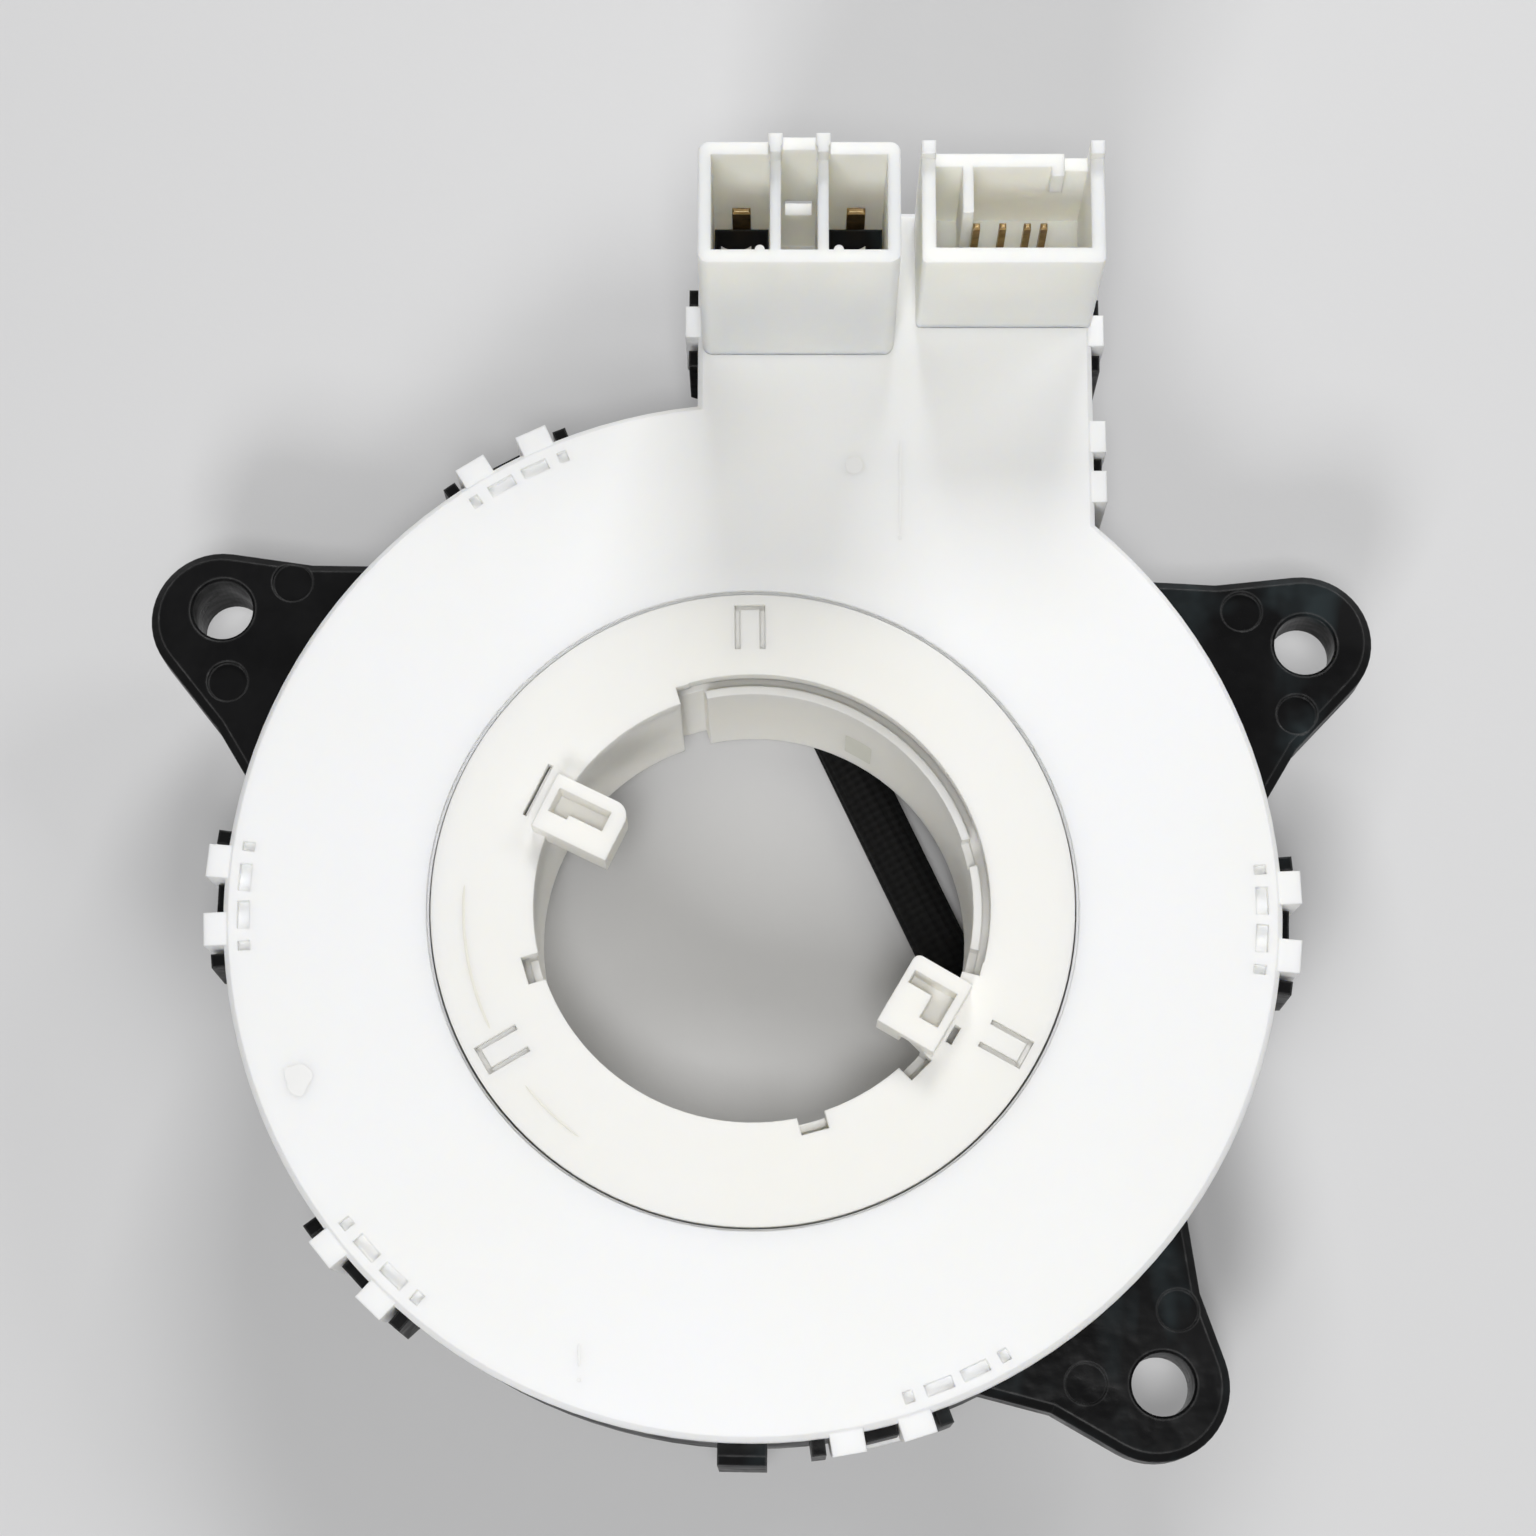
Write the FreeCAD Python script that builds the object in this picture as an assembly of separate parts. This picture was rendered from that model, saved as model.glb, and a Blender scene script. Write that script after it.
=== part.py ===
"""Steering clock spring: the rotary connector between a steering wheel and its column.

A flat ribbon cable is wound inside a shallow round cassette. The black lower case and the white
upper cover stay fixed by three ears. The white rotor turns in them with the wheel, and the steering
shaft passes through its bore. Two sockets on the cover's extension take the column's wiring, and on
the hidden side the rotor has a socket for the switches and a sleeved lead to the airbag.

Frame: millimetres, origin on the turning axis in the plane of the case's back face, +Z towards the
column, which is the side with the two tall sockets. The extension that carries them points to +Y.
"""
import FreeCAD
import Part
import math
import os
from FreeCAD import Vector

# Cassette
DISC_R = 49.0             # outer radius of the upper cover
TOP_Z = 19.0              # height of the cover's face above the case's back face
COVER_T = 2.0             # thickness of the cover's plate
CASE_INSET = 0.4          # how far the case's side wall stands inside the cover's rim
CASE_WALL = 1.8           # thickness of the case's side wall
FLOOR_T = 3.6             # thickness of the case's floor
LEDGE_T = 2.0             # thickness of the ledge that the rotor's lip runs over
COVER_EDGE = 0.5          # bevel of the cover's upper rim
LUG_EDGE = 0.8            # bevel at the top of the case's lug

# Extension that carries the sockets
EXT_LEFT = -5.4
EXT_RIGHT = 32.4
EXT_BEYOND = 14.65        # the extension's end, from the airbag socket's front
EXT_BASE = 1.6            # height of the extension's underside
EXT_CORNER = 1.0          # rounding of the extension's two outer corners

# Running clearances
RUN_GAP = 0.4             # between rotor and stator, across and along the axis
SMALL_GAP = 0.3           # under the lower slip sheet
SEAT_FIT = 0.1            # between a housing and the window it stands in
PIN_FIT = 0.05            # between a terminal and its hole

# Rotor
BORE_R = 20.5             # bore of the hub
SLEEVE_T = 2.4            # wall of the hub's sleeve
RING_T = 0.8              # wall of the thin ring at the sleeve's upper end
RING_H = 2.0              # height of that ring
DRUM_R = 29.4             # drum that the ribbon cable is wound on
DRUM_T = 1.4
HUB_R = 36.8              # hub's back plate, which closes the case's opening
LIP_R = 39.5              # lip of the back plate inside the case
FLANGE_R = 29.8           # rotor flange, which closes the cover's opening
FLANGE_T = 1.6
LIP_BORE_R = 20.3         # bore of the flange where it covers the sleeve
OPEN_BORE_R = 22.0        # bore of the flange where the sleeve's ring shows
OPEN_FROM = -14.4         # the ring shows from this angle
OPEN_TO = 105.9           # to this angle, anticlockwise

# Notches in the bore's edge
NOTCH_ANGLES = (105.9, 14.5, -14.4, -45.0, -74.7, -163.3)
NOTCH_W = 2.6
NOTCH_R = 21.9
NOTCH_H = 3.4             # depth of a notch below the flange's face
KEYWAY_ANGLE = 105.9      # this notch runs down the whole bore

# Snap tongues that hold the flange on the hub
TONGUE_FIRST = 90.7
TONGUE_COUNT = 3
TONGUE_W = 1.85
TONGUE_ROOT = 24.5
TONGUE_TIP = 28.3
SLIT_W = 0.5
HOOK_T = 1.0
HOOK_Z = 12.4             # lower end of a tongue's hook
BARB = 0.8                # how far a hook's barb reaches into the drum's window
BARB_H = 1.5

# Driving dogs, hollow pegs on the flange: angle, inner reach, side limits, walls at the inner end and
# at the rounded side, rounding, and the stepped recess as narrow width, wide width and wide length
DOG_TOP = 2.5             # height of the dogs above the flange's face
DOG_OUT = 21.4
DOG_FLOOR = 1.0
RECESS_OUT = 20.6
DOG_A_ANGLE = 154.0
DOG_A_IN = 13.75
DOG_A_SIDES = (-2.75, 2.75)
DOG_A_WALLS = (1.55, 1.2)
DOG_A_ROUND = 1.5
DOG_A_RECESS = (1.95, 2.4, 1.9)
DOG_B_ANGLE = -30.5
DOG_B_IN = 15.5
DOG_B_SIDES = (-3.9, 3.3)
DOG_B_WALLS = (0.7, 1.45)
DOG_B_ROUND = 0.7
DOG_B_RECESS = (1.3, 3.6, 1.9)
SLIT_A = ((22.55, 23.0), (-3.6, 1.75))
SLIT_B = ((21.75, 22.35), (-2.05, -0.25))

# Hub's inside
WEB_RIBS = 6
WEB_RIB_T = 1.2
WEB_RIB_H = 8.0
WEB_RIB_FIRST = 42.0

# Snap clips round the rim: middle angle of each group, then offsets along the rim in degrees
CLIP_GROUPS = (118.6, 179.0, 223.3, 283.7, 358.2)
BARRED = (False, False, False, True, False)    # whether a bar joins the group's two tabs under the hook
POCKET_SHIFT = (-0.2, 0.1, 1.2, 9.4, 0.1)
TAB_OFFSETS = (-3.7, 3.7)
CATCH_OFFSETS = (-6.75, 6.75)
CATCH_W = 1.3
CATCH_REACH = 1.85        # how far the catches beside a group's tabs stand out from the case's wall
HOOK_W = 3.0
HOOK_TOP = 16.3
POCKET_OFFSETS = (-5.7, -2.15, 2.15, 5.7)
POCKET_LENGTHS = (0.9, 2.6, 2.6, 0.9)
POCKET_IN = 1.9           # how far a pocket's middle lies inside the cover's rim
POCKET_W = 1.1
POCKET_DEPTH = 0.7
TAB_W = 3.1
TAB_OUT = 1.2             # how far a tab's lower end stands out from the edge
TAB_TOP_OUT = 1.8         # how far the upper end of a rim's tab stands out
TAB_Z = 9.5               # lower end of a tab
TAB_STEP = 0.2            # how far a tab's top lies below the cover's face
BAR_H = 1.5               # height of the bar that joins a group's tabs
WINDOW_W = 1.7
WINDOW_Z = (11.2, 13.6)
NUB_FIT = 0.15            # clearance between a catch nub and the tab's window
CATCH_OUT = 1.3           # how far the hooks and the extension's catches stand out from the case's wall
CATCH_Z = (6.0, 17.0)

# Clips along the extension: side, place along Y beyond the disc's rim
EXT_TABS = ((0, -3.4), (0, -8.4), (0, 7.3), (180, 8.2))
EXT_CATCHES = ((0, -5.9), (0, 10.3), (0, 4.6), (180, 11.3), (180, 5.1))
EXT_CATCH_W = 1.6

# Ears: hole's angle, its distance outside the disc's rim and its depth, then, measured from the hole
# outwards and anticlockwise, the rounded end's middle and radius, the bend of each side with the angle
# where that side meets the case, and the middles of the two dimples
EARS = (
    (149.2, 10.8, 9.0, (-0.2, 0.85, 6.7),
     (-4.9, -8.35, 132.3), (-5.8, 10.1, 167.3), (-4.3, -5.8), (-4.3, 5.8)),
    (27.1, 10.6, 5.2, (0.15, 0.4, 6.6),
     (-5.6, -8.6, 10.0), (-4.6, 9.3, 45.6), (-4.0, -5.7), (-3.8, 5.7)),
    (-48.9, 8.4, 6.2, (-0.35, -0.6, 6.9),
     (-4.8, -9.45, -66.6), (-3.9, 8.25, -32.6), (-4.7, -5.3), (-4.1, 5.6)),
)
EAR_Z = 11.0              # seating face of the ears
EAR_T = 4.4
EAR_EDGE = 0.8
EAR_HOLE_R = 2.9
EAR_BEVEL = 0.3
EAR_BOSS_R = 4.6
EAR_BOSS_SIDES = 8
DIMPLE_R = 1.95
DIMPLE_DEPTH = 0.5

# Lug on the case's wall
LUG_ANGLE = -91.0
LUG_W = 4.5
LUG_OUT = 1.8             # how far the lug stands out from the cover's rim
LUG_Z = (1.0, 15.0)

# Airbag socket: two cavities with a latch channel between them
AIR_X = 4.2               # middle of the socket
AIR_OUT = 4.75            # the socket's front, from the disc's rim
AIR_DEPTH = 11.55
AIR_H = 23.9
AIR_WALL = 1.2
AIR_MID_WALL = 1.0
AIR_CHANNEL = 3.3
AIR_CAVITY = 5.3
AIR_POST = (1.3, 1.8, 2.0)
AIR_BACK_RISE = 1.0
LATCH_W = 2.5
LATCH_Z = (9.6, 13.1)
KEY_RIB_R = 0.45
SOCKET_FLOOR = 2.0        # thickness of a socket's floor above the cover
SOCKET_EDGE = 1.0         # rounding of a socket's upright corners

# Auxiliary socket: one cavity with four pins
AUX_X = 23.95
AUX_W = 16.85
AUX_BEHIND = 2.75         # how far its front stands behind the airbag socket's
AUX_DEPTH = 11.5
AUX_H = 16.9
AUX_WALL = 1.3
AUX_FRONT_WALL = 1.45
AUX_BACK_DROP = 1.9
AUX_POST_W = 1.3
AUX_POST_RISE = 1.2
AUX_STEP_X = 3.6          # polarising rib, from the cavity's left wall
AUX_STEP_T = 1.0
AUX_STEP_DEPTH = 4.5
AUX_KEY_X = 2.2           # hanging key, from the cavity's right wall
AUX_KEY = (1.2, 0.9, 4.0)
AUX_NOTCH_DEPTH = 1.0

# Shorting bars in the airbag socket
BAR_FIT = 0.15
BAR_DEPTH = 6.6
BAR_TOP = 12.0            # height of the bar carrier above the cover
BAR_SLOT_Y = 4.3          # clip's slot, from the carrier's front
CLIP_T = 0.25
CLIP_W = 2.8
CLIP_SHIFT = -0.5         # how far the clips stand to one side of their carriers' middle
CLIP_RISE = 0.5
CLIP_BOW = 0.45

# Terminals
BLADE_W = 1.7
BLADE_T = 0.64
BLADE_TOP = 15.5
BLADE_GAP = 0.15          # between a blade and its bar carrier
PIN_W = 0.64
PIN_TIP = 0.2             # bevel of the terminals' ends
AUX_PINS_X = (-3.1, -0.65, 1.65, 3.2)
AUX_PIN_Y = 5.8           # from the socket's front
AUX_PIN_TOP = 11.5
PIN_BASE = 6.0            # lower end of the column side's terminals
BLOCK_TOP = 12.0
BLOCK_MARGIN = 1.2
FOOT_MARGIN = 1.6         # how far a socket's foot stands inside its outline

# Ribbon cable
RIBBON_T = 0.3
RIBBON_TOP = 15.1
RIBBON_TURNS = 2
RIBBON_STEP = 9.0         # degrees of the coil that each of its straight runs covers
RIBBON_START = 0.8        # between the drum and the coil's inner end
RIBBON_ROOM = 2.2         # between the coil's outer turn and the case's wall
RIBBON_CLEAR = 0.7        # between the led-out ribbon and the corner that it passes
SHEET_T = 0.25
SHEET_MARGIN = 0.5
SHEET_SIDES = 40          # the hidden slip sheets are many-sided, which keeps the model light

# Driver's side, on the hub's back
BASE_DROP = 9.0           # how far its housings stand out from the back face
LEAD_R = 2.65
LEAD_OFFSET = 16.9        # distance of the lead from the turning axis
LEAD_ANGLE = 25.2         # direction of the shortest line from the axis to the lead
LEAD_Z = -5.0
LEAD_SEAT = 4.0           # how deep the lead sits in its outlet and its plug
OUTLET_S = (-29.0, -20.0)
OUTLET_HALF = 4.2
OUTLET_ROUND = 2.0
PLUG_S = (20.0, 28.0)
PLUG_HALF = 3.8
PLUG_Z = (-8.7, 0.0)
CRADLE_T = 1.0
CRADLE_FIT = 0.1
SWITCH_ANGLE = 183.0
SWITCH_R = (22.4, 31.2)
SWITCH_HALF = 7.6
SWITCH_WALL = 1.2
SWITCH_FLOOR = 1.5
SWITCH_PINS = 5
SWITCH_PITCH = 2.5
SWITCH_PIN_Z = -4.4
INNER_BLOCK_HALF = 5.8
INNER_BLOCK_T = 3.3
INNER_BLOCK_H = 9.0

# Sizes that follow from the ones above
LUG_R = DISC_R + LUG_OUT
AIR_FRONT = DISC_R + AIR_OUT
AUX_FRONT = AIR_FRONT + AUX_BEHIND
EXT_END = AIR_FRONT + EXT_BEYOND
CASE_TOP = TOP_Z - COVER_T
CASE_R = DISC_R - CASE_INSET
CHAMBER_R = CASE_R - CASE_WALL
FLANGE_Z = TOP_Z - FLANGE_T
SLEEVE_R = BORE_R + SLEEVE_T
RING_R = BORE_R + RING_T
DRUM_IN = DRUM_R - DRUM_T
LIP_Z = LEDGE_T + RUN_GAP
WEB_Z = FLOOR_T - SMALL_GAP
COVER_BORE_R = FLANGE_R + RUN_GAP
CASE_LEFT = EXT_LEFT + CASE_INSET
CASE_RIGHT = EXT_RIGHT - CASE_INSET
CASE_END = EXT_END - CASE_INSET
CORNER_X = CASE_RIGHT - CASE_WALL
ROOT_Y = math.sqrt(CHAMBER_R ** 2 - CORNER_X ** 2) - 2.0
RIBBON_END = CHAMBER_R - RIBBON_ROOM
RIBBON_EXIT = math.degrees(
    math.acos(CORNER_X / CHAMBER_R) - math.acos((RIBBON_END + RIBBON_T / 2 + RIBBON_CLEAR) / CHAMBER_R))
AIR_W = AIR_CHANNEL + 2 * (AIR_MID_WALL + AIR_CAVITY + AIR_WALL)
AIR_CAVITY_X = AIR_CHANNEL / 2 + AIR_MID_WALL + AIR_CAVITY / 2
BLADE_Y = AIR_FRONT + AIR_WALL + BAR_FIT + BAR_DEPTH + BLADE_GAP
LEAD_TURN = math.radians(LEAD_ANGLE)
LEAD_FOOT = Vector(math.cos(LEAD_TURN), math.sin(LEAD_TURN), 0) * LEAD_OFFSET
UP = Vector(0, 0, 1)
AXIS = Vector(0, 0, 0)


def box(x, y, z):
    """Block between two limits along each direction."""
    return Part.makeBox(x[1] - x[0], y[1] - y[0], z[1] - z[0], Vector(x[0], y[0], z[0]))


def rod(radius, z, x=0.0, y=0.0):
    """Upright cylinder between two heights."""
    return Part.makeCylinder(radius, z[1] - z[0], Vector(x, y, z[0]))


def ring(inner, outer, z):
    """Upright tube between two heights."""
    return rod(outer, z).cut(rod(inner, z))


def revolved(outline, sweep=360.0):
    """Solid turned about the axis from corners given as radius and height."""
    corners = [Vector(r, 0, z) for r, z in outline]
    face = Part.Face(Part.makePolygon(corners + corners[:1]))
    return face.revolve(AXIS, UP, sweep)


def sector(radii, angles, z):
    """Piece of a flat ring between two angles."""
    low, high = radii
    outline = ((low, z[0]), (high, z[0]), (high, z[1]), (low, z[1]))
    return about_axis(revolved(outline, angles[1] - angles[0]), angles[0])


def prism(corners, z):
    """Upright prism on a polygon given by its corners."""
    points = [Vector(x, y, z[0]) for x, y in corners]
    face = Part.Face(Part.makePolygon(points + points[:1]))
    return face.extrude(Vector(0, 0, z[1] - z[0]))


def polar(radius, angle):
    """Point in the plane of the disc."""
    turn = math.radians(angle)
    return Vector(radius * math.cos(turn), radius * math.sin(turn), 0)


def many_sided(radius, sides, z, middle=AXIS):
    """Upright prism on a regular polygon."""
    points = [middle + polar(radius, i * 360.0 / sides) for i in range(sides)]
    return prism([(p.x, p.y) for p in points], z)


def about_axis(shape, angle):
    """Copy of a shape turned about the turning axis."""
    return shape.rotated(AXIS, UP, angle)


def on_edge(shape, x, y, heading):
    """Copy of a shape drawn at the origin, looking outwards along its own +X, set at an edge."""
    moved = shape.rotated(AXIS, UP, heading)
    moved.translate(Vector(x, y, 0))
    return moved


def on_rim(shape, angle, radius=DISC_R):
    """Copy of such a shape set at the disc's rim."""
    turn = math.radians(angle)
    return on_edge(shape, radius * math.cos(turn), radius * math.sin(turn), angle)


def along_lead(shape):
    """Copy of a shape drawn with the lead along its +X, set on the lead's line."""
    return on_edge(shape, LEAD_FOOT.x, LEAD_FOOT.y, LEAD_ANGLE - 90.0)


def joined(shapes):
    """One clean solid from several that meet."""
    return shapes[0].multiFuse(shapes[1:]).removeSplitter()


def upright_edges(shape, picked):
    """The vertical edges of a shape whose place passes a test."""
    edges = []
    for edge in shape.Edges:
        a, b = edge.Vertexes[0].Point, edge.Vertexes[-1].Point
        if abs(a.x - b.x) < 1e-6 and abs(a.y - b.y) < 1e-6 and picked(a):
            edges.append(edge)
    return edges


def level_edges(shape, z, picked):
    """The edges of a shape that lie at one height and pass a test on their middle."""
    edges = []
    for edge in shape.Edges:
        middle = edge.valueAt((edge.FirstParameter + edge.LastParameter) / 2)
        flat = all(abs(v.Point.z - z) < 1e-6 for v in edge.Vertexes)
        if flat and abs(middle.z - z) < 1e-6 and picked(middle):
            edges.append(edge)
    return edges


def rounded_box(x, y, z, radius):
    """Block with rounded upright corners."""
    solid = box(x, y, z)
    return solid.makeFillet(radius, upright_edges(solid, lambda p: True))


def tangent_points(centre, radius, point, side):
    """Where a line from a point touches a circle, on the wanted side."""
    away = point - centre
    reach = away.Length
    spread = math.acos(radius / reach) * side
    turn = math.atan2(away.y, away.x) + spread
    return centre + Vector(math.cos(turn), math.sin(turn), 0) * radius


def ear(angle, out, depth, end, bend_a, bend_b, dimple_a, dimple_b):
    """Mounting ear: a leaf that widens to the case in two bent sides, with a bevelled hole and its boss."""
    hole = polar(DISC_R + out, angle)

    def spot(outwards, anticlockwise):
        return hole + polar(outwards, angle) + polar(anticlockwise, angle + 90.0)

    centre = spot(end[0], end[1])
    tip = centre + polar(end[2], angle)
    bends = [spot(bend[0], bend[1]) for bend in (bend_a, bend_b)]
    roots = [polar(CASE_R - 0.6 * CASE_WALL, bend[2]) for bend in (bend_a, bend_b)]
    touches = [tangent_points(centre, end[2], point, side) for point, side in zip(bends, (1, -1))]
    outline = Part.Wire([
        Part.LineSegment(roots[0], bends[0]).toShape(),
        Part.LineSegment(bends[0], touches[0]).toShape(),
        Part.Arc(touches[0], tip, touches[1]).toShape(),
        Part.LineSegment(touches[1], bends[1]).toShape(),
        Part.LineSegment(bends[1], roots[1]).toShape(),
        Part.LineSegment(roots[1], roots[0]).toShape(),
    ])
    leaf = Part.Face(outline).extrude(UP * EAR_T)
    leaf.translate(UP * (EAR_Z - EAR_T))
    outer = level_edges(leaf, EAR_Z, lambda p: math.hypot(p.x, p.y) > CASE_R)
    leaf = leaf.makeChamfer(EAR_EDGE, outer)
    boss = many_sided(EAR_BOSS_R, EAR_BOSS_SIDES, (EAR_Z - depth, EAR_Z - EAR_T / 2), hole)
    bore = rod(EAR_HOLE_R, (EAR_Z - depth - 1, EAR_Z + 1), hole.x, hole.y)
    wide = EAR_HOLE_R + EAR_BEVEL
    bevel = Part.makeCone(EAR_HOLE_R, wide, EAR_BEVEL, hole + UP * (EAR_Z - EAR_BEVEL))
    solid = joined([leaf, boss]).cut(bore).cut(bevel)
    for place in (dimple_a, dimple_b):
        middle = spot(*place)
        solid = solid.cut(rod(DIMPLE_R, (EAR_Z - DIMPLE_DEPTH, EAR_Z + 1), middle.x, middle.y))
    return solid


def catch(width, reach):
    """Black rib on the case's wall, beside a white tab, drawn at the cover's rim."""
    inner = -CASE_INSET - CASE_WALL / 2
    outer = reach - CASE_INSET
    low, high = CATCH_Z
    foot = low + outer - inner
    corners = ((inner, low), (outer, foot), (outer, high), (inner, high))
    points = [Vector(x, -width / 2, z) for x, z in corners]
    return Part.Face(Part.makePolygon(points + points[:1])).extrude(Vector(0, width, 0))


def hook():
    """Black hook between a group's two tabs, drawn at the cover's rim."""
    x = (-CASE_INSET - CASE_WALL / 2, CATCH_OUT - CASE_INSET)
    return box(x, (-HOOK_W / 2, HOOK_W / 2), (TAB_Z + BAR_H + NUB_FIT, HOOK_TOP))


def nub():
    """Catch nub that stands in a tab's window, drawn at the cover's rim."""
    half = WINDOW_W / 2 - NUB_FIT
    low, high = WINDOW_Z[0] + NUB_FIT, WINDOW_Z[1] - NUB_FIT
    inner = -CASE_INSET - CASE_WALL / 2
    face = TAB_OUT - 0.2
    corners = ((inner, low), (face, low), (face, low + 0.6), (0.1, high), (inner, high))
    points = [Vector(x, -half, z) for x, z in corners]
    return Part.Face(Part.makePolygon(points + points[:1])).extrude(Vector(0, 2 * half, 0))


def tab(top_out=TAB_OUT):
    """White snap tab that hangs over the case's wall, with a window for a nub, drawn at the cover's rim."""
    top = TOP_Z - TAB_STEP
    corners = ((0.0, TAB_Z), (TAB_OUT, TAB_Z), (top_out, top), (-1.0, top), (-1.0, CASE_TOP), (0.0, CASE_TOP))
    points = [Vector(x, -TAB_W / 2, z) for x, z in corners]
    arm = Part.Face(Part.makePolygon(points + points[:1])).extrude(Vector(0, TAB_W, 0))
    return arm.cut(box((-0.5, top_out + 1), (-WINDOW_W / 2, WINDOW_W / 2), WINDOW_Z))


def clip(middle, barred):
    """Two tabs of a group on the rim, and the bar that joins them where the group has one."""
    angles = [middle + offset for offset in TAB_OFFSETS]
    pieces = [on_rim(tab(TAB_TOP_OUT), angle) for angle in angles]
    if barred:
        pieces.append(sector((DISC_R, DISC_R + TAB_OUT), angles, (TAB_Z, TAB_Z + BAR_H)))
    return pieces


def edge_places(rows):
    """Points and headings along the extension's two sides."""
    return [(EXT_RIGHT if side == 0 else EXT_LEFT, DISC_R + beyond, side) for side, beyond in rows]


def lower_case():
    """Black case: floor with the rotor's ledge, side wall, extension tray, ears, catches and lug."""
    drum = rod(CASE_R, (0, CASE_TOP))
    tray = box((CASE_LEFT, CASE_RIGHT), (ROOT_Y, CASE_END), (EXT_BASE, CASE_TOP))
    tray = tray.makeFillet(EXT_CORNER, upright_edges(tray, lambda p: p.y > DISC_R))
    walls = [drum, tray]
    walls += [ear(*row) for row in EARS]
    lug = box((CASE_R - 0.5, LUG_R), (-LUG_W / 2, LUG_W / 2), LUG_Z)
    lug = lug.makeChamfer(LUG_EDGE, level_edges(lug, LUG_Z[1], lambda p: abs(p.x - LUG_R) < 1e-6))
    walls.append(about_axis(lug, LUG_ANGLE))
    for middle in CLIP_GROUPS:
        walls.append(on_rim(hook(), middle))
        walls += [on_rim(catch(CATCH_W, CATCH_REACH), middle + offset) for offset in CATCH_OFFSETS]
        walls += [on_rim(nub(), middle + offset) for offset in TAB_OFFSETS]
    for place in edge_places(EXT_CATCHES):
        walls.append(on_edge(catch(EXT_CATCH_W, CATCH_OUT), *place))
    for place in edge_places(EXT_TABS):
        walls.append(on_edge(nub(), *place))
    solid = walls[0].multiFuse(walls[1:])
    chamber = rod(CHAMBER_R, (FLOOR_T, CASE_TOP + 1))
    inside = box((CASE_LEFT + CASE_WALL, CASE_RIGHT - CASE_WALL),
                 (ROOT_Y, CASE_END - CASE_WALL), (FLOOR_T, CASE_TOP + 1))
    ledge = rod(LIP_R + RUN_GAP, (LEDGE_T, FLOOR_T + 1))
    opening = rod(HUB_R + RUN_GAP, (-1, LEDGE_T + 1))
    return solid.cut(chamber).cut(inside).cut(ledge).cut(opening).removeSplitter()


def socket_foot(x, front, width, depth, fit=0.0):
    """The foot by which a socket stands in the cover, or its window when a clearance is given."""
    margin = FOOT_MARGIN - fit
    return box((x - width / 2 + margin, x + width / 2 - margin),
               (front + margin, front + depth - margin), (CASE_TOP - (1 if fit else 0), TOP_Z + 0.5))


def upper_cover():
    """White cover: disc and extension plate, opening for the rotor, snap tabs and pockets."""
    disc = rod(DISC_R, (CASE_TOP, TOP_Z))
    wing = box((EXT_LEFT, EXT_RIGHT), (ROOT_Y, EXT_END), (CASE_TOP, TOP_Z))
    wing = wing.makeFillet(EXT_CORNER, upright_edges(wing, lambda p: p.y > DISC_R))
    plate = joined([disc, wing])
    plate = plate.makeChamfer(COVER_EDGE, level_edges(plate, TOP_Z, lambda p: True))
    parts = [plate]
    for middle, barred in zip(CLIP_GROUPS, BARRED):
        parts += clip(middle, barred)
    parts += [on_edge(tab(), *place) for place in edge_places(EXT_TABS)]
    solid = joined(parts)
    solid = solid.cut(rod(COVER_BORE_R, (CASE_TOP - 1, TOP_Z + 1)))
    solid = solid.cut(socket_foot(AIR_X, AIR_FRONT, AIR_W, AIR_DEPTH, SEAT_FIT))
    solid = solid.cut(socket_foot(AUX_X, AUX_FRONT, AUX_W, AUX_DEPTH, SEAT_FIT))
    pockets = []
    across = (-POCKET_W / 2, POCKET_W / 2)
    deep = (TOP_Z - POCKET_DEPTH, TOP_Z + 1)
    for middle, shift in zip(CLIP_GROUPS, POCKET_SHIFT):
        for offset, length in zip(POCKET_OFFSETS, POCKET_LENGTHS):
            cut = box(across, (-length / 2, length / 2), deep)
            pockets.append(on_rim(cut, middle + shift + offset, DISC_R - POCKET_IN))
    return solid.cut(pockets).removeSplitter()


def lead_boss(s, half, z, radius):
    """Rounded housing on the hub's back, placed along the lead."""
    return along_lead(rounded_box(s, (-half, half), z, radius))


def switch_box(u, half, z):
    """Block at the switch socket's place, between two radii."""
    return about_axis(box(u, (-half, half), z), SWITCH_ANGLE)


def lead_rod(start, end):
    """Length of the lead's own round section along its line."""
    return along_lead(Part.makeCylinder(LEAD_R, end - start, Vector(start, 0, LEAD_Z), Vector(1, 0, 0)))


def notch(angle, bottom):
    """What a notch in the bore's edge takes away, from a height up."""
    cut = box((LIP_BORE_R - 2, NOTCH_R), (-NOTCH_W / 2, NOTCH_W / 2), (bottom, TOP_Z + 1))
    return about_axis(cut, angle)


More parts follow.
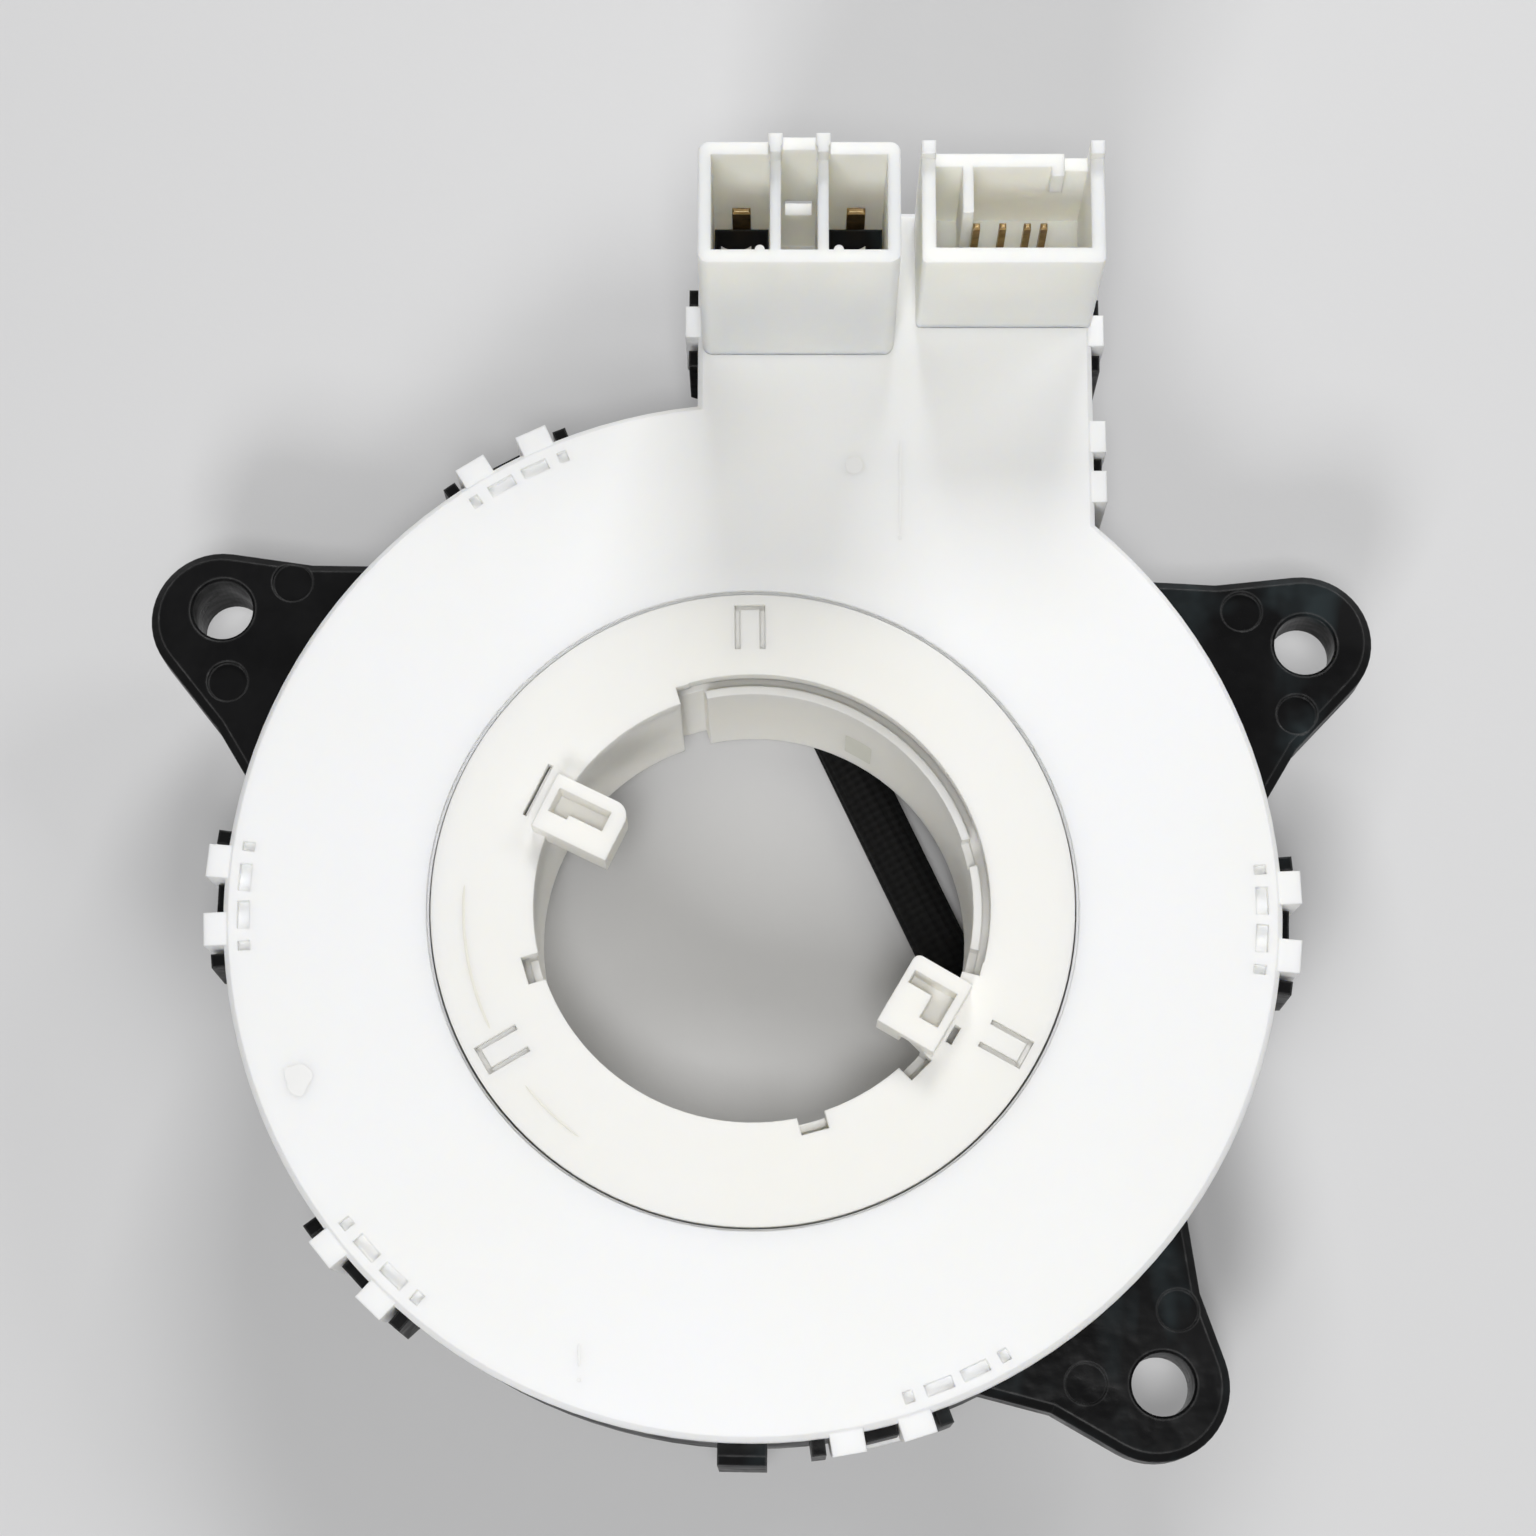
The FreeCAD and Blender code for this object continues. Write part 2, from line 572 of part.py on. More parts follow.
def rotor_hub():
    """White hub: bored sleeve, drum for the ribbon, back plate with lips, and the driver's housings."""
    outline = (
        (BORE_R, 0), (HUB_R, 0), (HUB_R, LIP_Z), (LIP_R, LIP_Z), (LIP_R, WEB_Z), (DRUM_R, WEB_Z),
        (DRUM_R, FLANGE_Z), (DRUM_IN, FLANGE_Z), (DRUM_IN, WEB_Z), (SLEEVE_R, WEB_Z),
        (SLEEVE_R, FLANGE_Z - RING_H), (RING_R, FLANGE_Z - RING_H), (RING_R, FLANGE_Z), (BORE_R, FLANGE_Z),
    )
    parts = [revolved(outline)]
    rib_z = (WEB_Z - 0.5, WEB_Z + WEB_RIB_H)
    rib = box((SLEEVE_R - 0.5, DRUM_IN + 0.5), (-WEB_RIB_T / 2, WEB_RIB_T / 2), rib_z)
    for i in range(WEB_RIBS):
        parts.append(about_axis(rib, WEB_RIB_FIRST + i * 360.0 / WEB_RIBS))
    parts.append(lead_boss(OUTLET_S, OUTLET_HALF, (-BASE_DROP, 0.5), OUTLET_ROUND))
    cradle_in = PLUG_HALF + CRADLE_FIT
    for side in (-1, 1):
        wall = sorted((side * cradle_in, side * (cradle_in + CRADLE_T)))
        parts.append(along_lead(box(PLUG_S, wall, (-BASE_DROP, 0.5))))
    shell = switch_box(SWITCH_R, SWITCH_HALF, (-BASE_DROP, 0.5))
    parts.append(shell)
    solid = joined(parts)
    cuts = [lead_rod(OUTLET_S[1] - LEAD_SEAT, OUTLET_S[1] + 1)]
    inner = (SWITCH_R[0] + SWITCH_WALL, SWITCH_R[1] - SWITCH_WALL)
    cuts.append(switch_box(inner, SWITCH_HALF - SWITCH_WALL, (-BASE_DROP - 1, -SWITCH_FLOOR)))
    cuts += [switch_pin(i, PIN_FIT) for i in range(SWITCH_PINS)]
    for angle in NOTCH_ANGLES:
        cuts.append(notch(angle, -1 if angle == KEYWAY_ANGLE else TOP_Z - NOTCH_H))
    for i in range(TONGUE_COUNT):
        half = TONGUE_W / 2 + RUN_GAP
        window = box((DRUM_IN - 0.5, DRUM_R + 0.5), (-half, half), (HOOK_Z - RUN_GAP, HOOK_Z + BARB_H + 0.1))
        cuts.append(about_axis(window, TONGUE_FIRST + i * 360.0 / TONGUE_COUNT))
    return solid.cut(cuts).removeSplitter()


def dog(angle, reach, sides, walls, rounding, recess, slit):
    """Driving dog: the solid peg, and what is cut from it and from the flange behind it."""
    low, high = sides
    end_wall, side_wall = walls
    narrow, wide, wide_length = recess
    peg = box((reach, DOG_OUT), (low, high), (FLANGE_Z, TOP_Z + DOG_TOP))
    round_y = low if angle > 0 else high
    corner = upright_edges(peg, lambda p: abs(p.x - reach) < 1e-6 and abs(p.y - round_y) < 1e-6)
    peg = peg.makeFillet(rounding, corner)
    floor = FLANGE_Z + DOG_FLOOR
    top = TOP_Z + DOG_TOP + 1
    long_x = (reach + end_wall, RECESS_OUT)
    wide_x = (RECESS_OUT - wide_length, RECESS_OUT)
    if angle > 0:
        edge = low + side_wall
        arm = box(long_x, (edge, edge + narrow), (floor, top))
        broad = box(wide_x, (edge, edge + wide), (floor, top))
    else:
        edge = high - side_wall
        arm = box(long_x, (edge - narrow, edge), (floor, top))
        broad = box(wide_x, (edge - wide, edge), (floor, top))
    slot = box(slit[0], slit[1], (FLANGE_Z - 1, TOP_Z + 1))
    cuts = [about_axis(shape, angle) for shape in (arm, broad, slot)]
    return about_axis(peg, angle), cuts


def tongue(angle):
    """Snap tongue of the flange: its hook, and the slit that frees it on three sides."""
    half = TONGUE_W / 2
    outer = DRUM_IN - PIN_FIT
    hook = box((outer - HOOK_T, outer), (-half, half), (HOOK_Z, FLANGE_Z + 0.2))
    barb = prism(((0, 0), (BARB, 0), (0, BARB_H)), (-half, half))
    barb.rotate(AXIS, Vector(1, 0, 0), 90)
    barb.translate(Vector(outer - 0.01, 0, HOOK_Z))
    slits = []
    for side in (-1, 1):
        y = sorted((side * half, side * (half + SLIT_W)))
        slits.append(box((TONGUE_ROOT, TONGUE_TIP + SLIT_W), y, (FLANGE_Z - 1, TOP_Z + 1)))
    across = (-half - SLIT_W, half + SLIT_W)
    slits.append(box((TONGUE_TIP, TONGUE_TIP + SLIT_W), across, (FLANGE_Z - 1, TOP_Z + 1)))
    return about_axis(joined([hook, barb]), angle), [about_axis(cut, angle) for cut in slits]


def rotor_flange():
    """White flange that closes the cover's opening: dogs, notched lip and snap tongues."""
    z = (FLANGE_Z, TOP_Z)
    parts = [ring(OPEN_BORE_R, FLANGE_R, z)]
    parts.append(sector((LIP_BORE_R, OPEN_BORE_R + 0.2), (OPEN_TO, 360.0 + OPEN_FROM), z))
    cuts = []
    dogs = (dog(DOG_A_ANGLE, DOG_A_IN, DOG_A_SIDES, DOG_A_WALLS, DOG_A_ROUND, DOG_A_RECESS, SLIT_A),
            dog(DOG_B_ANGLE, DOG_B_IN, DOG_B_SIDES, DOG_B_WALLS, DOG_B_ROUND, DOG_B_RECESS, SLIT_B))
    tongues = [tongue(TONGUE_FIRST + i * 360.0 / TONGUE_COUNT) for i in range(TONGUE_COUNT)]
    for solid, holes in list(dogs) + tongues:
        parts.append(solid)
        cuts += holes
    cuts += [notch(angle, FLANGE_Z - 1) for angle in NOTCH_ANGLES]
    return joined(parts).cut(cuts).removeSplitter()


def airbag_socket():
    """Tall socket: two cavities, a latch channel between them, posts and a latch window."""
    x = (AIR_X - AIR_W / 2, AIR_X + AIR_W / 2)
    y = (AIR_FRONT, AIR_FRONT + AIR_DEPTH)
    rim = TOP_Z + AIR_H
    solid = rounded_box(x, y, (TOP_Z, rim), SOCKET_EDGE)
    middle = AIR_CHANNEL / 2 + AIR_MID_WALL
    parts = [solid, socket_foot(AIR_X, AIR_FRONT, AIR_W, AIR_DEPTH)]
    back = (y[1] - AIR_WALL, y[1])
    parts.append(box((AIR_X - middle, AIR_X + middle), back, (TOP_Z + 1, rim + AIR_BACK_RISE)))
    post_w, post_d, post_h = AIR_POST
    for side in (-1, 1):
        edge = sorted((AIR_X + side * (middle + 0.15), AIR_X + side * (middle + 0.15 - post_w)))
        parts.append(box(edge, (y[1] - post_d, y[1]), (TOP_Z + 1, rim + post_h)))
    solid = joined(parts)
    floor = TOP_Z + SOCKET_FLOOR
    depth = (y[0] + AIR_WALL, y[1] - AIR_WALL)
    cuts = [box((AIR_X - AIR_CHANNEL / 2, AIR_X + AIR_CHANNEL / 2), depth, (floor, rim + 5))]
    for side in (-1, 1):
        middle_x = AIR_X + side * AIR_CAVITY_X
        cuts.append(box((middle_x - AIR_CAVITY / 2, middle_x + AIR_CAVITY / 2), depth, (floor, rim + 5)))
        cuts.append(blade(side, PIN_FIT))
    latch = box((AIR_X - LATCH_W / 2, AIR_X + LATCH_W / 2), (back[0] - 0.5, back[1] + 1),
                (TOP_Z + LATCH_Z[0], TOP_Z + LATCH_Z[1]))
    cuts.append(latch)
    solid = solid.cut(cuts)
    ribs = [solid]
    for side in (-1, 1):
        rib_x = AIR_X + side * (middle + 0.9)
        ribs.append(rod(KEY_RIB_R, (TOP_Z + BAR_TOP + 1, rim), rib_x, depth[0]))
    return joined(ribs)


def auxiliary_socket():
    """Lower socket: one keyed cavity, corner posts and a lowered back wall."""
    x = (AUX_X - AUX_W / 2, AUX_X + AUX_W / 2)
    y = (AUX_FRONT, AUX_FRONT + AUX_DEPTH)
    rim = TOP_Z + AUX_H
    floor = TOP_Z + SOCKET_FLOOR
    parts = [rounded_box(x, y, (TOP_Z, rim), SOCKET_EDGE / 2)]
    parts.append(socket_foot(AUX_X, AUX_FRONT, AUX_W, AUX_DEPTH))
    for corner in ((x[0], x[0] + AUX_POST_W), (x[1] - AUX_POST_W, x[1])):
        parts.append(box(corner, (y[1] - AUX_WALL, y[1]), (TOP_Z + 1, rim + AUX_POST_RISE)))
    solid = joined(parts)
    inner_x = (x[0] + AUX_WALL, x[1] - AUX_WALL)
    inner_y = (y[0] + AUX_FRONT_WALL, y[1] - AUX_WALL)
    cuts = [box(inner_x, inner_y, (floor, rim + 1))]
    cuts.append(box(inner_x, (inner_y[1] - 1, y[1] + 1), (rim - AUX_BACK_DROP, rim + 5)))
    key_x = inner_x[1] - AUX_KEY_X
    top = rim - AUX_BACK_DROP
    cuts.append(box((key_x, inner_x[1]), (inner_y[1] - 1, y[1] + 1), (top - AUX_NOTCH_DEPTH, rim + 5)))
    cuts += [auxiliary_pin(i, PIN_FIT) for i in range(len(AUX_PINS_X))]
    solid = solid.cut(cuts)
    step = box((inner_x[0] + AUX_STEP_X - AUX_STEP_T, inner_x[0] + AUX_STEP_X),
               (inner_y[1] - AUX_STEP_DEPTH, inner_y[1] + 0.2), (floor - 0.2, top))
    key_w, key_t, key_h = AUX_KEY
    key = box((key_x - key_w, key_x), (inner_y[1] - key_t, inner_y[1] + 0.2), (top - key_h, top))
    return joined([solid, step, key])


def bar_box(side):
    """Limits across and along of a shorting bar's carrier in its cavity."""
    middle = AIR_X + side * AIR_CAVITY_X
    half = AIR_CAVITY / 2 - BAR_FIT
    front = AIR_FRONT + AIR_WALL + BAR_FIT
    return middle, (middle - half, middle + half), (front, front + BAR_DEPTH)


def clip_leaf(side, fit=0.0):
    """Bowed steel leaf of the shorting clip, standing in the carrier's slot."""
    middle, _, y = bar_box(side)
    x = middle + CLIP_SHIFT
    bow_r = (CLIP_W ** 2 / 4 + CLIP_BOW ** 2) / (2 * CLIP_BOW)
    back = y[0] + BAR_SLOT_Y
    z = (TOP_Z + SOCKET_FLOOR + 2, TOP_Z + BAR_TOP + (1 if fit else CLIP_RISE))
    bow = rod(bow_r + CLIP_T + fit, z, x, back + bow_r).cut(rod(bow_r - fit, z, x, back + bow_r))
    half = CLIP_W / 2 + fit
    return bow.common(box((x - half, x + half), (back - CLIP_T - fit, back + CLIP_BOW + fit), z))


def shorting_bar_carrier(side):
    """Black block in a cavity of the airbag socket, slotted for its clip."""
    _, x, y = bar_box(side)
    body = box(x, y, (TOP_Z + SOCKET_FLOOR, TOP_Z + BAR_TOP))
    return body.cut(clip_leaf(side, PIN_FIT))


def bevelled_pin(x, y, z, tip):
    """Square pin with a bevelled upper end."""
    shaft = box(x, y, z)
    return shaft.makeChamfer(tip, level_edges(shaft, z[1], lambda p: True))


def blade(side, fit=0.0):
    """Airbag terminal behind a bar carrier, or its hole when a clearance is given."""
    middle = AIR_X + side * AIR_CAVITY_X
    x = (middle - BLADE_W / 2 - fit, middle + BLADE_W / 2 + fit)
    y = (BLADE_Y - fit, BLADE_Y + BLADE_T + fit)
    z = (PIN_BASE, TOP_Z + BLADE_TOP)
    return box(x, y, z) if fit else bevelled_pin(x, y, z, PIN_TIP)


def auxiliary_pin(index, fit=0.0):
    """Square pin of the auxiliary socket, or its hole when a clearance is given."""
    x = AUX_X + AUX_PINS_X[index]
    y = AUX_FRONT + AUX_PIN_Y
    half = PIN_W / 2 + fit
    z = (PIN_BASE, TOP_Z + AUX_PIN_TOP)
    sides = ((x - half, x + half), (y - half, y + half))
    return box(*sides, z) if fit else bevelled_pin(*sides, z, PIN_TIP)


def outer_terminal_block():
    """Block on the extension's floor that holds the column side's terminals."""
    x = (CASE_LEFT + CASE_WALL + SEAT_FIT, CASE_RIGHT - CASE_WALL - SEAT_FIT)
    front = AIR_FRONT + FOOT_MARGIN + BLOCK_MARGIN
    y = (front, CASE_END - CASE_WALL - SEAT_FIT)
    body = box(x, y, (FLOOR_T, BLOCK_TOP))
    holes = [blade(side, PIN_FIT) for side in (-1, 1)]
    holes += [auxiliary_pin(i, PIN_FIT) for i in range(len(AUX_PINS_X))]
    return body.cut(holes)


def switch_pin(index, fit=0.0):
    """Square pin of the switch socket on the hub's back, or its hole when a clearance is given."""
    v = (index - (SWITCH_PINS - 1) / 2) * SWITCH_PITCH
    u = SLEEVE_R + SMALL_GAP + INNER_BLOCK_T / 2 + 0.9
    half = PIN_W / 2 + fit
    z = (SWITCH_PIN_Z - (3 if fit else 0), WEB_Z + INNER_BLOCK_H / 2)
    return about_axis(box((u - half, u + half), (v - half, v + half), z), SWITCH_ANGLE)


def inner_terminal_block():
    """Block in the hub's channel that joins the ribbon's inner end to the driver's terminals."""
    u = (SLEEVE_R + SMALL_GAP, SLEEVE_R + SMALL_GAP + INNER_BLOCK_T)
    body = switch_box(u, INNER_BLOCK_HALF, (WEB_Z, WEB_Z + INNER_BLOCK_H))
    return body.cut([switch_pin(i, PIN_FIT) for i in range(SWITCH_PINS)])


def ribbon_cable():
    """Flat cable coiled in half turns that alternate between two centres, led out to the extension."""
    inner_end = DRUM_R + RIBBON_START + RIBBON_T / 2
    shift = (RIBBON_END - inner_end) / (4 * RIBBON_TURNS + 1)
    along = polar(1.0, RIBBON_EXIT + 90.0)
    front = AIR_FRONT + FOOT_MARGIN + BLOCK_MARGIN - SMALL_GAP
    sides = []
    for side in (-1, 1):
        points = []
        for k in range(2 * RIBBON_TURNS + 1):
            centre = Vector(-shift if k % 2 == 0 else shift, 0, 0)
            radius = inner_end + (2 * k + 1) * shift + side * RIBBON_T / 2
            start = 180.0 * (k % 2)
            sweep = RIBBON_EXIT if k == 2 * RIBBON_TURNS else 180.0
            runs = round(sweep / RIBBON_STEP)
            points += [centre + polar(radius, start + sweep * i / runs) for i in range(1 if k else 0, runs + 1)]
        end = points[-1]
        points.append(end + along * ((front - end.y) / along.y))
        sides.append([(p.x, p.y) for p in points])
    return prism(sides[0] + sides[1][::-1], (FLOOR_T + SHEET_T, RIBBON_TOP))


def slip_sheet(inner, z):
    """Thin many-sided sheet in the case's chamber, between two heights."""
    outer = many_sided(CHAMBER_R - SHEET_MARGIN, SHEET_SIDES, z)
    return outer.cut(many_sided(inner + SHEET_MARGIN, SHEET_SIDES, z))


def lower_slip_sheet():
    """Sheet on the case's floor, under the ribbon."""
    return slip_sheet(DRUM_R, (FLOOR_T, FLOOR_T + SHEET_T))


def upper_slip_sheet():
    """Sheet under the cover, above the ribbon."""
    return slip_sheet(COVER_BORE_R, (CASE_TOP - SHEET_T, CASE_TOP))


def airbag_lead():
    """Black sleeved lead, parked straight across the back of the bore."""
    return lead_rod(OUTLET_S[1] - LEAD_SEAT, PLUG_S[0] + LEAD_SEAT)


def airbag_plug():
    """Plug at the lead's end, parked in the hub's cradle."""
    body = along_lead(box(PLUG_S, (-PLUG_HALF, PLUG_HALF), PLUG_Z))
    return body.cut(lead_rod(PLUG_S[0] - 1, PLUG_S[0] + LEAD_SEAT))


def build():
    """Every piece by its node's name."""
    pieces = {
        "lower_case": lower_case(),
        "upper_cover": upper_cover(),
        "rotor_flange": rotor_flange(),
        "rotor_hub": rotor_hub(),
        "airbag_socket": airbag_socket(),
        "auxiliary_socket": auxiliary_socket(),
        "outer_terminal_block": outer_terminal_block(),
        "inner_terminal_block": inner_terminal_block(),
        "ribbon_cable": ribbon_cable(),
        "lower_slip_sheet": lower_slip_sheet(),
        "upper_slip_sheet": upper_slip_sheet(),
        "airbag_lead": airbag_lead(),
        "airbag_plug": airbag_plug(),
    }
    for side, name in ((-1, "left"), (1, "right")):
        pieces["shorting_bar_carrier_" + name] = shorting_bar_carrier(side)
        pieces["shorting_clip_" + name] = clip_leaf(side)
        pieces["airbag_blade_" + name] = blade(side)
    for i in range(len(AUX_PINS_X)):
        pieces["auxiliary_pin_%d" % (i + 1)] = auxiliary_pin(i)
    for i in range(SWITCH_PINS):
        pieces["switch_pin_%d" % (i + 1)] = switch_pin(i)
    return pieces


os.makedirs("parts", exist_ok=True)
for name, shape in build().items():
    solids = shape.Solids
    assert shape.isValid() and solids, name
    shape.exportStep("parts/" + name + ".step")
    print(name, len(solids), "solid", round(shape.Volume / 1000, 3), "cm3", len(shape.Faces), "faces")
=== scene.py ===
"""Steering clock spring: the finish of its pieces, its thin trim, and the studio round it.

Lengths are in metres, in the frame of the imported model: the rotor turns about Z, and the two tall
sockets stand on the side of +Y.
"""

import math

import bpy
import numpy as np
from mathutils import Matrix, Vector


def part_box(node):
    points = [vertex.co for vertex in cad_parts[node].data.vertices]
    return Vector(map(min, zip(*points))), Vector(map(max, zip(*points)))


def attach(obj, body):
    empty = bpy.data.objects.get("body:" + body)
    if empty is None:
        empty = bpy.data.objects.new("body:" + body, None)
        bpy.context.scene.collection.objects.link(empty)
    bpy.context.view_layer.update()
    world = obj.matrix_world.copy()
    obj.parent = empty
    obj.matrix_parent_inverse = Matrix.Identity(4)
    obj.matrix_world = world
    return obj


bl_info = {
    "name": "Steering clock spring",
    "version": (1, 0, 0),
    "blender": (4, 5, 0),
    "location": "View3D > Sidebar > Clock spring",
    "description": "Finishes and small moulded details of a steering clock spring",
    "category": "Object",
}

MM = 0.001
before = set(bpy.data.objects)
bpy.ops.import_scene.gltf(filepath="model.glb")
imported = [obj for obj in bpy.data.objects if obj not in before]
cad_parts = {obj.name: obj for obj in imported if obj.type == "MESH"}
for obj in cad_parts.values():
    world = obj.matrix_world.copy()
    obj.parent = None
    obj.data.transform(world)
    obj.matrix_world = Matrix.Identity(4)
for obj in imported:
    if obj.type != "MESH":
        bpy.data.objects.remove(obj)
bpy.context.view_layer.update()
FLOOR_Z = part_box("rotor_hub")[0].z
LEAD_LOW, LEAD_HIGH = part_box("airbag_lead")
FACE_Z = 19.0 * MM
BORE_RADIUS = 20.5 * MM

# Sampling of the added surfaces
HOOP_STEPS, HOOP_SECTION = 240, 12
BUN_RINGS, BUN_AROUND = 9, 32
ROPE_AROUND = 8
STRAIGHT_STEPS = 24
PAPER_STEPS, PAPER_HALF_WIDTH = 8, 2.5

# Powers that square the corners of the webs, the insert's mark and the hoop's section
SQUARE_WEB = 0.15
SQUARE_MARK = 0.12
SQUARE_SECTION = 0.2

# Webs at the bottom of the flange's slits, in millimetres: half length outwards, half width
# sideways, and how far outwards and sideways the middle lies. Angles are in degrees.
DOG_ANGLE = 154.0
DOG_WEB = (0.13, 2.68, 22.67, -0.925)
TONGUE_ANGLES = (90.7, 210.7, 330.7)
TONGUE_WEBS = ((2.16, 0.26, 26.65, -1.175), (2.16, 0.26, 26.65, 1.175), (0.26, 1.43, 28.55, 0.0))

# Mould marks on the cover: the plate's ejector mark, two witness lines with a drop beyond the end
# of each, and the gate's scar
PLATE_DOT = (9.54 * MM, 42.65 * MM)
PLATE_LINE = ((13.94 * MM, 45.26 * MM), (13.87 * MM, 35.58 * MM))
PLATE_DROP, PLATE_DROP_RADIUS = (13.87 * MM, 35.4 * MM), 0.22 * MM
RIM_LINE = ((-15.49 * MM, -40.22 * MM), (-15.46 * MM, -42.35 * MM))
RIM_DROP, RIM_DROP_RADIUS = (-15.45 * MM, -43.5 * MM), 0.2 * MM
GATE, GATE_SIZE, GATE_WOBBLE = (-41.52 * MM, -16.35 * MM), (1.2 * MM, 1.45 * MM), 0.12

# Witness lines on the flange: first and last angle in degrees, and share of the lines' width
FLANGE_LINE_RADIUS = 26.75 * MM
FLANGE_LINES = ((176.0, 206.0, 1.0), (219.0, 234.0, 0.7))

# The mark of the mould's insert on the bore's wall: angles in degrees, sizes in metres
INSERT_ANGLE, INSERT_HALF_ANGLE = 60.5, 4.0
INSERT_Z, INSERT_HALF_HEIGHT, INSERT_PROUD = 6.5 * MM, 3.2 * MM, 0.03 * MM

# Lamps: name, setting with the power, place and width. All of them face the aim.
LAMP_AIM = (0.0, 0.01, 0.0)
LAMPS = (
    ("back_lamp", "back", (0.0450, 0.5100, 0.4000), 0.22),
    ("right_lamp", "right", (0.4284, 0.2677, 0.4091), 0.22),
    ("top_lamp", "top", (0.0, -0.1682, 0.6279), 0.12),
    ("front_lamp", "front", (-0.1190, -0.4440, 0.4596), 0.18),
)

# Camera: place, turn in degrees about X, Y and Z, and sensor in millimetres
CAMERA_PLACE = (0.0024360, -0.0664104, 0.3453178)
CAMERA_TURN = (13.66849, 0.16023, 0.09215)
SENSOR_WIDTH = 36.0

# A normal within this cosine of the direction from the axis belongs to a turned wall's facet
FACET_COSINE = 0.999

# Along X, where the case's bluish streaks of painted reflection begin and where they are at their
# strongest
REFLECTION_BEGIN, REFLECTION_FULL = -25 * MM, 15 * MM

BACKDROP_RAYS = ("Is Camera Ray", "Is Glossy Ray", "Is Transmission Ray")
BLACK = (0.0, 0.0, 0.0)


class Wire:
    """One output of a shader node. Arithmetic on it adds Math nodes and gives another wire."""

    def __init__(self, recipe, socket):
        self.recipe = recipe
        self.socket = socket

    def __add__(self, other):
        return self.recipe.math("ADD", self, other)

    def __radd__(self, other):
        return self.recipe.math("ADD", other, self)

    def __sub__(self, other):
        return self.recipe.math("SUBTRACT", self, other)

    def __rsub__(self, other):
        return self.recipe.math("SUBTRACT", other, self)

    def __mul__(self, other):
        return self.recipe.math("MULTIPLY", self, other)

    def __rmul__(self, other):
        return self.recipe.math("MULTIPLY", other, self)

    def __abs__(self):
        return self.recipe.math("ABSOLUTE", self)

    def sine(self):
        return self.recipe.math("SINE", self)

    def above(self, limit):
        """1 where the number is above the limit, elsewhere 0."""
        return self.recipe.math("GREATER_THAN", self, limit)

    def side(self):
        """1 where the number is above zero, elsewhere -1."""
        return self.above(0.0) * 2.0 - 1.0

    def between(self, low, high):
        """0 at the lower value, 1 at the upper one, straight between them."""
        return self.recipe.add(
            "ShaderNodeMapRange", {"clamp": True},
            {"Value": self, "From Min": low, "From Max": high})


